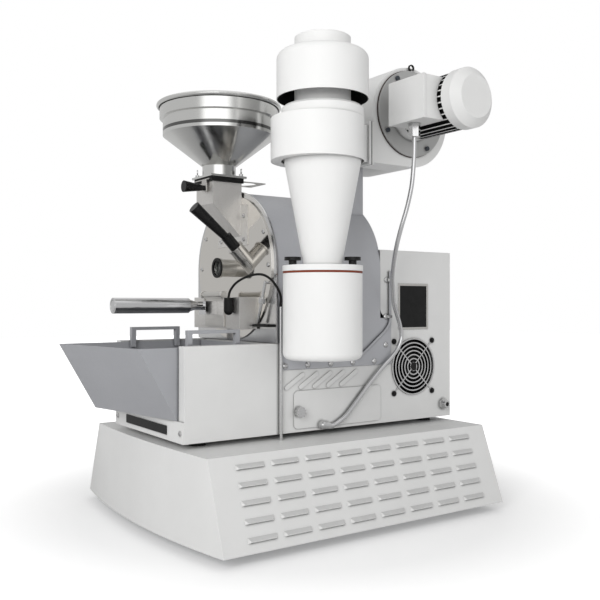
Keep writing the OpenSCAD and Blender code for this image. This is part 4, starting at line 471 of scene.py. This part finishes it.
# %% [markdown]
# ## Phenolic, plastic and rubber
# The knobs are pressed from black phenolic, hard and glossy with a slight haze. The fan frame is moulded
# nylon, the feet are rubber, the gaskets are silicone. Each is a dielectric whose roughness says most of
# it, with a faint grain so that no surface is one flat value. Its edges are painted slightly lighter, a
# painted highlight.

# %% Write the moulded finish
MOULD_CLOUD_MM = 12
MOULD_EDGE_MM = 0.5
MOULD_DEPTH = 0.15 * MM
# Share of the lighter tone in the painted highlight on edges.
EDGE_LIFT = 0.35
HAZE_SHARE = 0.25
MOULD_SMOOTHEST, MOULD_ROUGHEST = 0.85, 1.2
PLASTIC_IOR = 1.5
# Half the usual level, because the fine grain takes the rest of the shine.
DULLED_SPECULAR = 0.25


def moulded(name, colour, roughness, grain=1.0, depth=0.05, coat=0.0, lift="#262626"):
    """A moulded or pressed dielectric with a fine grain in millimetres and a painted highlight on its edges.
    """
    material, tree, skin = finish_of(
        name, Roughness=roughness, IOR=PLASTIC_IOR, Coat_Weight=coat, Specular_IOR_Level=DULLED_SPECULAR
    )
    place = add(tree, "TexCoord").outputs["Object"]
    painted_edge_light, rounded = edge_highlight_share(tree, MOULD_EDGE_MM)
    haze = add(tree, "TexNoise", {
        "Vector": place, "Scale": per_mm(MOULD_CLOUD_MM), "Detail": 3.0,
    }).outputs["Fac"]
    cloud = add(tree, "MapRange", {
        "Value": haze, **NOISE_SPAN, "To Min": 0.0, "To Max": HAZE_SHARE,
    }).outputs["Result"]
    base = add(tree, "Mix", {0: cloud, 6: srgb(colour), 7: srgb(lift)}, data_type="RGBA").outputs[2]
    # Painted highlight: edges are mixed part way towards the lighter tone.
    edge = add(tree, "Math", {0: painted_edge_light, 1: EDGE_LIFT}, operation="MULTIPLY").outputs[0]
    body = add(tree, "Mix", {0: edge, 6: base, 7: srgb(lift)}, data_type="RGBA").outputs[2]
    fine = add(tree, "TexNoise", {"Vector": place, "Scale": per_mm(grain), "Detail": 2.0}).outputs["Fac"]
    shine = add(tree, "MapRange", {
        "Value": fine, **NOISE_SPAN,
        "To Min": roughness * MOULD_SMOOTHEST, "To Max": roughness * MOULD_ROUGHEST,
    }).outputs["Result"]
    bump = add(tree, "Bump", {"Height": fine, "Strength": depth, "Distance": MOULD_DEPTH, "Normal": rounded})
    clothe(tree, skin, body, shine, bump.outputs["Normal"])
    return material


print(f"moulded edges lifted by {EDGE_LIFT:.0%}")

# %% Make the plastics and rubbers
finishes.update({
    # Knobs, grip, dial and switch: hard, black and glossy, with a thin clear skin.
    "black_phenolic": moulded("black_phenolic", "#0c0c0c", 0.3, 1.5, 0.03, 0.05),
    # Fan frame, rotor and the painted shade between the motor's fins: black with a soft sheen.
    "black_plastic": moulded("moulded_black_nylon", "#181818", 0.5),
    # Hub and rim of the wire guard, and its screws: a smooth black coat.
    "black_wire": moulded("black_coated_wire", "#141414", 0.4),
    # Feet: matt, with a deep grain.
    "foot_rubber": moulded("foot_rubber", "#1d1d1d", 0.75, 0.8, 0.2),
    # Probe lead and thin black gaskets: dull and nearly black.
    "cable_rubber": moulded("cable_rubber", "#0f0f0f", 0.5, 0.6, 0.05),
    # Gasket of the chaff can: a brick red line.
    "seal_silicone": moulded("red_silicone", "#7c3a28", 0.6, 1.0, 0.1, lift="#8c4a38"),
    # Gasket behind the motor flange: a brown black line.
    "dark_silicone": moulded("dark_silicone", "#3a2a28", 0.6, 1.0, 0.1, lift="#4a3a38"),
    # Inside of the cyclone hood: black painted shade, so it hardly shines.
    "hood_lining": moulded("hood_inside_shade_coat", "#161616", 0.7, 3.0, 0.1, lift="#242424"),
    # Gearmotor and the bolts of the motor flange: a dark blue grey enamel.
    "motor_enamel": moulded("dark_motor_enamel", "#3c4046", 0.4, 1.2, 0.1, lift="#565b62"),
    # Rating plate and front strip: satin black, left bare.
    "plate_black": moulded("anodised_black_plate", "#0b0b0b", 0.42, 0.6, 0.03),
})
print(f"{len(finishes)} finishes with the mouldings")

# %% [markdown]
# ### The sight glass
# The pane that shows the beans is borosilicate glass, which stands the drum's heat. It is clear with a
# faint green, and roasting leaves a film on it. Full transmission makes it clear, and a little uneven
# roughness is the film. A thin tinted coat over a dark disc would be quicker, but it would show no depth.

# %% Make the sight glass
FILM_MM = 6
CLEAREST, HAZIEST = 0.02, 0.07
glass, glass_tree, glass_skin = finish_of(
    "borosilicate_sight_glass", Roughness=0.03, IOR=1.47, Transmission_Weight=1.0
)
glass_place = add(glass_tree, "TexCoord").outputs["Object"]
film = add(glass_tree, "TexNoise", {
    "Vector": glass_place, "Scale": per_mm(FILM_MM), "Detail": 3.0,
}).outputs["Fac"]
smear = add(glass_tree, "MapRange", {"Value": film, **NOISE_SPAN, "To Min": CLEAREST, "To Max": HAZIEST})
glass_tree.links.new(smear.outputs["Result"], glass_skin.inputs["Roughness"])
glass_skin.inputs["Base Color"].default_value = srgb("#eef4f1")
finishes["sight_glass"] = glass
print(f"{len(finishes)} finishes")

# %% [markdown]
# ## Dress the solids
# The record says which kind of finish each node has, so one loop dresses most of them. A table holds the
# nodes whose own finish differs a little from the rest of their kind, such as a chute that was blasted
# where the other steel was brushed. It also holds the knobs, whose slot in the record is another name for
# black phenolic.

# %% Give every node its finish
slot_of = {part["node"]: part["material_slot"] for part in frame["record"]["subparts"]}
OWN_FINISH = {
    "black_phenolic": ("gate_knob", "can_knob_front", "can_knob_rear", "control_knob", "power_switch"),
    "motor_powder": ("motor_cap", "terminal_box", "blower_motor"),
    "blasted_stainless": ("feed_chute", "door_box"),
    "polished_tube": ("sampler_tube", "sampler"),
    # The tray's darker grey is painted shade.
    "tray_powder": ("cooling_tray",),
    "grey_powder": ("capillary_tube",),
    "satin_stainless": ("fan_grille",),
}


def dress(piece, material):
    """Puts one material on every face of a piece."""
    piece.data.materials.clear()
    piece.data.materials.append(material)


for name, piece in nodes.items():
    if slot_of[name] in finishes:
        dress(piece, finishes[slot_of[name]])
for finish, names in OWN_FINISH.items():
    for name in names:
        dress(nodes[name], finishes[finish])
dress(lead, finishes["cable_rubber"])
dress(conduit, finishes["chromed_steel"])
dressed = [name for name, piece in nodes.items() if piece.data.materials[0] in finishes.values()]
print(f"dressed {len(dressed)} of {len(nodes)} nodes")

# %% [markdown]
# ## Pieces of two stuffs
# Some nodes are bought-in parts that hold more than one stuff, such as a steel scoop with its phenolic
# grip. They could be cut in two, but then they would no longer be the solids of the model. Their faces
# are sorted by where they lie instead, in millimetres, and no vertex moves.

# %% Give single faces a second finish
def repaint(name, finish, chosen):
    """Second finish for the faces whose middle and normal pass a test, in millimetres."""
    piece = nodes[name]
    piece.data.materials.append(finishes[finish])
    last = len(piece.data.materials) - 1
    picked = 0
    for face in piece.data.polygons:
        if chosen(face.center / MM, face.normal):
            face.material_index = last
            picked += 1
    print(f"{name}: {picked} faces in {finish}")


def radius_x(point, axis):
    """Distance from a line along X."""
    return math.hypot(point.y - axis.y, point.z - axis.z)


def radius_z(point, axis):
    """Distance from an upright line."""
    return math.hypot(point.x - axis.x, point.y - axis.y)


SLANT = math.sqrt(0.5)
SAMPLER_FOOT = Vector((60, -134, 489))
SAMPLER_AXIS = Vector((0, -SLANT, SLANT))
GRIP_FROM = 43.5
repaint("sampler", "black_phenolic", lambda p, n: (p - SAMPLER_FOOT).dot(SAMPLER_AXIS) > GRIP_FROM)

# %% [markdown]
# ### The blower motor
# The core between the cooling fins is painted black, as painted shade in the gaps, and the lifting eye on
# top is black too. The flange is greyer than the housing, partly painted shade, and its bolts are dark.

# %% Paint the motor's core, bolts and flange
MOTOR_AXIS = Vector((0, 182, 795))
CORE_FROM_X, CORE_RADIUS = 173, 52.5
EYE_HEIGHT = 87
BOLTS_FROM_X, BOLTS_INNER, BOLTS_OUTER = 172.3, 60, 82
FLANGE_TO_X, FLANGE_INNER, FLANGE_OUTER = 172.5, 50, 86.3


def is_core_or_eye(p, n):
    """Whether a face is between the fins, where the shade is painted, or on the lifting eye."""
    core = p.x > CORE_FROM_X and radius_x(p, MOTOR_AXIS) < CORE_RADIUS
    return core or p.z > MOTOR_AXIS.z + EYE_HEIGHT


# The gaps between the fins are painted black: painted shade.
repaint("blower_motor", "black_plastic", is_core_or_eye)
repaint("blower_motor", "motor_enamel",
        lambda p, n: BOLTS_INNER < radius_x(p, MOTOR_AXIS) < BOLTS_OUTER and p.x > BOLTS_FROM_X)
# The flange's darker grey is partly painted shade from the motor above it.
repaint("blower_motor", "flange_grey",
        lambda p, n: p.x < FLANGE_TO_X and FLANGE_INNER < radius_x(p, MOTOR_AXIS) < FLANGE_OUTER)

# %% [markdown]
# ### Gaskets, glands and the hood
# All gaskets are one node. The one behind the motor flange is dark, those at the chute, the sight glass
# and the outlet flange are black, and the can's stays red. The probe's gland is rubber where the others
# are steel. The inside of the cyclone's hood is painted black as painted shade, so its gap reads as a dark
# ring.

# %% Sort the gaskets, the glands and the hood
MOTOR_SEAL_X, MOTOR_SEAL_RADIUS, MOTOR_SEAL_Y = 165, 80, 90
FRONT_SEAL_Y, FRONT_SEAL_X = -125, 150
OUTLET_SEAL_Y, OUTLET_SEAL_X = (70, 80), 175
PROBE_GLAND_Y = -150
CYCLONE_AXIS = Vector((240, -92, 0))
HOOD_SHADE_TOP, HOOD_SHADE_INNER, HOOD_SHADE_OUTER = 838, 50.5, 79.5
LOOKS_DOWN = -0.3


def is_motor_seal(p, n):
    """Whether a face is on the gasket behind the motor flange."""
    return p.x > MOTOR_SEAL_X and radius_x(p, MOTOR_AXIS) > MOTOR_SEAL_RADIUS and p.y > MOTOR_SEAL_Y


def is_front_or_outlet_seal(p, n):
    """Whether a face is on a gasket of the chute, the sight glass or the outlet flange."""
    front = p.y < FRONT_SEAL_Y and p.x < FRONT_SEAL_X
    return front or OUTLET_SEAL_Y[0] < p.y < OUTLET_SEAL_Y[1] and p.x < OUTLET_SEAL_X


def is_hood_shaded_inside(p, n):
    """Whether a face of the hood looks at its axis or down, inside the skirt, where shade is painted."""
    inward = n.x * (p.x - CYCLONE_AXIS.x) + n.y * (p.y - CYCLONE_AXIS.y) < 0
    inside = p.z < HOOD_SHADE_TOP and HOOD_SHADE_INNER < radius_z(p, CYCLONE_AXIS) < HOOD_SHADE_OUTER
    return inside and (inward or n.z < LOOKS_DOWN)


repaint("gaskets", "dark_silicone", is_motor_seal)
repaint("gaskets", "cable_rubber", is_front_or_outlet_seal)
repaint("cable_glands", "cable_rubber", lambda p, n: p.y < PROBE_GLAND_Y)
# The hood's inside gets painted shade.
repaint("cyclone_hood", "hood_lining", is_hood_shaded_inside)

# %% [markdown]
# ### Fan, louvres and plates
# The cabinet fan has steel wires on a black hub and rim, and black screws at its corners. The louvres'
# upper faces get a darker coat as painted shade. The front strip is black on its face only, and the rating
# plate has a bare steel edge.

# %% Paint the fan, the louvres and the plates
FAN_MIDDLE = Vector((148.4, 206.5, 283.5))
WIRES_FROM, WIRES_TO = 7.5, 66
FAN_SCREW_REACH, FAN_SCREW_HALF, FAN_SCREW_X = 52.5, 6, 140
LOUVRE_LEAN, LOUVRE_RISE, LOUVRE_X = 0.4, 0.45, 150
STRIP_FACE_Y = -316.6
PLATE_Y, PLATE_Z = 207, 406.5
PLATE_HALF_Y, PLATE_HALF_Z = 36.9, 42.4


def is_fan_screw(p, n):
    """Whether a face is on one of the four screws at the fan's corners."""
    off_y = abs(abs(p.y - FAN_MIDDLE.y) - FAN_SCREW_REACH)
    off_z = abs(abs(p.z - FAN_MIDDLE.z) - FAN_SCREW_REACH)
    return p.x > FAN_SCREW_X and max(off_y, off_z) < FAN_SCREW_HALF


repaint("fan_grille", "black_wire", lambda p, n: not WIRES_FROM < radius_x(p, FAN_MIDDLE) < WIRES_TO)
repaint("panel_screws", "black_wire", is_fan_screw)
# The louvres' upper faces get a darker coat: painted shade.
repaint("base_cabinet", "louvre_back",
        lambda p, n: abs(n.x) > LOUVRE_LEAN and n.z > LOUVRE_RISE and abs(p.x) > LOUVRE_X)
repaint("front_strip", "plate_black", lambda p, n: p.y < STRIP_FACE_Y)
repaint("rating_plate", "brushed_stainless",
        lambda p, n: abs(p.y - PLATE_Y) > PLATE_HALF_Y or abs(p.z - PLATE_Z) > PLATE_HALF_Z)

# %% [markdown]
# ## Small pieces of painted shade
# A thin black ring under the hopper's rolled rim is painted shadow, and a dark disc behind the cabinet fan
# is painted shade. Both are round and thin, so one closed outline, turned about an axis, makes each of them.
# The same could be done with a Screw modifier, but rings of points in mesh code leave nothing to apply.

# %% Turn an outline about an axis
RING_STEPS = 96


def ring_sweep(name, middle, axis, profile, finish):
    """Turns a closed profile of (radius, height) points round an axis through a point, in millimetres."""
    axis = Vector(axis)
    across = axis.orthogonal().normalized()
    along = axis.cross(across)
    mesh = bmesh.new()
    loops = []
    for i in range(RING_STEPS):
        turn = 2 * math.pi * i / RING_STEPS
        spoke = across * math.cos(turn) + along * math.sin(turn)
        loops.append([mesh.verts.new((Vector(middle) + spoke * r + axis * h) * MM) for r, h in profile])
    for i in range(RING_STEPS):
        here, there = loops[i], loops[(i + 1) % RING_STEPS]
        for k in range(len(profile)):
            j = (k + 1) % len(profile)
            mesh.faces.new((here[k], there[k], there[j], here[j])).smooth = True
    data = bpy.data.meshes.new(name)
    mesh.to_mesh(data)
    mesh.free()
    made = bpy.data.objects.new(name, data)
    bpy.context.scene.collection.objects.link(made)
    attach(made, "machine")
    dress(made, finishes[finish])
    return made


print(f"{RING_STEPS} steps round a ring")

# %% Lay the painted shadow ring and the painted shade disc
# A black ring under the hopper's rim: a painted shadow.
RIM_SHADOW_RADIUS, RIM_SHADOW_HALF, RIM_SHADOW_BELOW_TOP = 115.4, 1.3, 7.4
RIM_SHADOW_FACETS = 12
# A dark disc behind the cabinet fan: painted shade.
FAN_SHADE_X = 117
rim_shadow_outline = [
    (RIM_SHADOW_RADIUS + RIM_SHADOW_HALF * math.cos(a), RIM_SHADOW_HALF * math.sin(a))
    for a in (2 * math.pi * k / RIM_SHADOW_FACETS for k in range(RIM_SHADOW_FACETS))
]
fan_shade_outline = [
    (0.5, 0), (15, 0.4), (30, 0), (45, 0.4), (57, 0),
    (57.5, -1.2), (45, -1.6), (30, -2), (15, -1.6), (0.5, -2),
]
rim_shadow_z = hopper_high.z / MM - RIM_SHADOW_BELOW_TOP
rim_shadow_ring = ring_sweep("hopper_rim_painted_shadow", (hopper_axis.x / MM, hopper_axis.y / MM, rim_shadow_z), (0, 0, 1),
                  rim_shadow_outline, "cable_rubber")
fan_shade_disc = ring_sweep("fan_painted_shade_disc", (FAN_SHADE_X, FAN_MIDDLE.y, FAN_MIDDLE.z), (1, 0, 0),
                         fan_shade_outline, "black_plastic")
print(f"bead at {rim_shadow_z:.1f} mm with {len(rim_shadow_ring.data.polygons)} faces, "
      f"filter with {len(fan_shade_disc.data.polygons)}")

# %% [markdown]
# ## The studio floor
# The machine stands on white paper. Far from the machine the paper is pure white, and near it the lamps
# light it, so that the machine keeps its shadow. A glow that only the camera sees, and that grows with
# distance, does both. Polished metal mirrors the paper too. It looks darker there, as it does in the shade
# of a real machine, so reflections get a brightness of their own.

# %% Lay the floor
FLOOR_HALF = 8.0
GLOW_NEAR, GLOW_FAR = 0.2, 1.0
WHITE_FROM, WHITE_TO = 0.42, 1.1
MIRRORED_NEAR, MIRRORED_FAR = 0.28, 0.62
MIRRORED_FROM, MIRRORED_TO = 0.3, 1.4
PLAIN_WHITE = (1, 1, 1, 1)
PAPER_COLOUR = "#f4f4f4"
floor_data = bpy.data.meshes.new("floor")
floor_data.from_pydata(
    [(-FLOOR_HALF, -FLOOR_HALF, 0), (FLOOR_HALF, -FLOOR_HALF, 0), (FLOOR_HALF, FLOOR_HALF, 0),
     (-FLOOR_HALF, FLOOR_HALF, 0)], [], [(0, 1, 2, 3)],
)
floor = bpy.data.objects.new("floor", floor_data)
bpy.context.scene.collection.objects.link(floor)
paper, paper_tree, paper_skin = finish_of("white_paper_sweep", Roughness=0.9, Specular_IOR_Level=0.1)
paper_skin.inputs["Base Color"].default_value = srgb(PAPER_COLOUR)
floor_path = add(paper_tree, "LightPath")
floor_place = add(paper_tree, "TexCoord").outputs["Object"]
away = add(paper_tree, "VectorMath", {0: floor_place}, operation="LENGTH").outputs["Value"]
seen_glow = add(paper_tree, "MapRange", {
    "Value": away, "From Min": WHITE_FROM, "From Max": WHITE_TO, "To Min": GLOW_NEAR, "To Max": GLOW_FAR,
}).outputs["Result"]
glow_share = add(paper_tree, "Math", {0: seen_glow, 1: floor_path.outputs["Is Camera Ray"]},
                 operation="MULTIPLY").outputs[0]
glow = add(paper_tree, "Emission", {"Color": PLAIN_WHITE, "Strength": glow_share})
lit_paper = add(paper_tree, "AddShader", {0: paper_skin.outputs[0], 1: glow.outputs[0]})
mirrored_glow = add(paper_tree, "MapRange", {
    "Value": away, "From Min": MIRRORED_FROM, "From Max": MIRRORED_TO,
    "To Min": MIRRORED_NEAR, "To Max": MIRRORED_FAR,
}).outputs["Result"]
mirrored_paper = add(paper_tree, "Emission", {"Color": PLAIN_WHITE, "Strength": mirrored_glow})
both = add(paper_tree, "MixShader", {
    0: floor_path.outputs["Is Glossy Ray"], 1: lit_paper.outputs[0], 2: mirrored_paper.outputs[0],
})
paper_tree.links.new(both.outputs[0], paper_tree.nodes["Material Output"].inputs["Surface"])
dress(floor, paper)
print(f"paper {2 * FLOOR_HALF:.0f} m wide, white from {WHITE_TO} m outwards")

# %% [markdown]
# ## The white surround
# A product like this is shot inside a white tent. The camera sees plain white behind the machine. Painted
# faces are lit more from the horizon than from above, and more from the camera's side than from behind.
# Polished metal shows whatever stands round it, so the tent has a bright strip near the camera and a
# brighter roof that only reflections see. Each of these is a soft step along one direction.

# %% Make the white surround
side, ahead = math.sin(CAMERA_AZIMUTH), math.cos(CAMERA_AZIMUTH)
TO_CAMERA = (side, -ahead, 0)
TO_LEFT = (-ahead, -side, 0)

world = bpy.data.worlds.new("white_surround")
bpy.context.scene.world = world
world.use_nodes = True
sky = world.node_tree
path = add(sky, "LightPath")
around = add(sky, "TexCoord").outputs["Generated"]
height = add(sky, "SeparateXYZ", {0: around}).outputs[2]
facing = add(sky, "VectorMath", {0: around, 1: TO_CAMERA}, operation="DOT_PRODUCT").outputs["Value"]
leftward = add(sky, "VectorMath", {0: around, 1: TO_LEFT}, operation="DOT_PRODUCT").outputs["Value"]

# What each step follows, where it starts and ends, and its brightness at both.
SOFT_STEPS = {
    "strip": (facing, 0.8, 0.93, 0.0, 1.0),
    "walls": (leftward, -0.7, 0.9, 0.6, 0.62),
    "roof": (height, 0.45, 0.9, 0.0, 0.35),
    "horizon": (height, 0.0, 0.9, 1.0, 0.6),
    "camera_side": (facing, -0.6, 0.8, 0.62, 0.84),
}
tent = {
    name: add(sky, "MapRange", {
        "Value": value, "From Min": start, "From Max": end, "To Min": low, "To Max": high,
    }, interpolation_type="SMOOTHSTEP").outputs["Result"]
    for name, (value, start, end, low, high) in SOFT_STEPS.items()
}
walls_and_roof = add(sky, "Math", {0: tent["walls"], 1: tent["roof"]}, operation="ADD").outputs[0]
mirrored = add(sky, "Math", {0: walls_and_roof, 1: tent["strip"]}, operation="ADD").outputs[0]
diffuse = add(sky, "Math", {0: tent["horizon"], 1: tent["camera_side"]}, operation="MULTIPLY").outputs[0]
plain = add(sky, "Math", {0: path.outputs["Is Camera Ray"], 1: path.outputs["Is Transmission Ray"]},
            operation="MAXIMUM").outputs[0]
lit = add(sky, "Mix", {0: path.outputs["Is Glossy Ray"], 2: diffuse, 3: mirrored}).outputs[0]
strength = add(sky, "Mix", {0: plain, 2: lit, 3: 1.0}).outputs[0]
backdrop = sky.nodes["Background"]
backdrop.inputs["Color"].default_value = PLAIN_WHITE
sky.links.new(strength, backdrop.inputs["Strength"])
print(f"{len(tent)} soft steps in the tent")

# %% [markdown]
# ## The lamps
# One large softbox near the camera gives round parts a bright middle and soft, darker sides. A weak one
# at the rear keeps the cabinet's side from going dull. Both stay out of the reflections, where a hard
# white square would look like a window.

# %% Set the lamps
def lamp(name, place, target, size, power):
    """A soft square lamp that looks at a point and isn't mirrored in metal."""
    data = bpy.data.lights.new(name, "AREA")
    data.size = size
    data.energy = power
    made = bpy.data.objects.new(name, data)
    made.location = place
    made.rotation_euler = (Vector(target) - Vector(place)).to_track_quat("-Z", "Y").to_euler()
    made.visible_glossy = False
    bpy.context.scene.collection.objects.link(made)
    return made


softbox = lamp("camera_softbox", place=(1.65, -2.35, 1.4), target=(0, 0, 0.45), size=1.5, power=42)
fill = lamp("rear_side_fill", place=(2.6, 1.3, 0.9), target=(0, 0, 0.4), size=1.2, power=6)
bpy.context.scene.view_settings.view_transform = "Standard"
print(f"softbox {softbox.data.energy:.0f} W, fill {fill.data.energy:.0f} W")
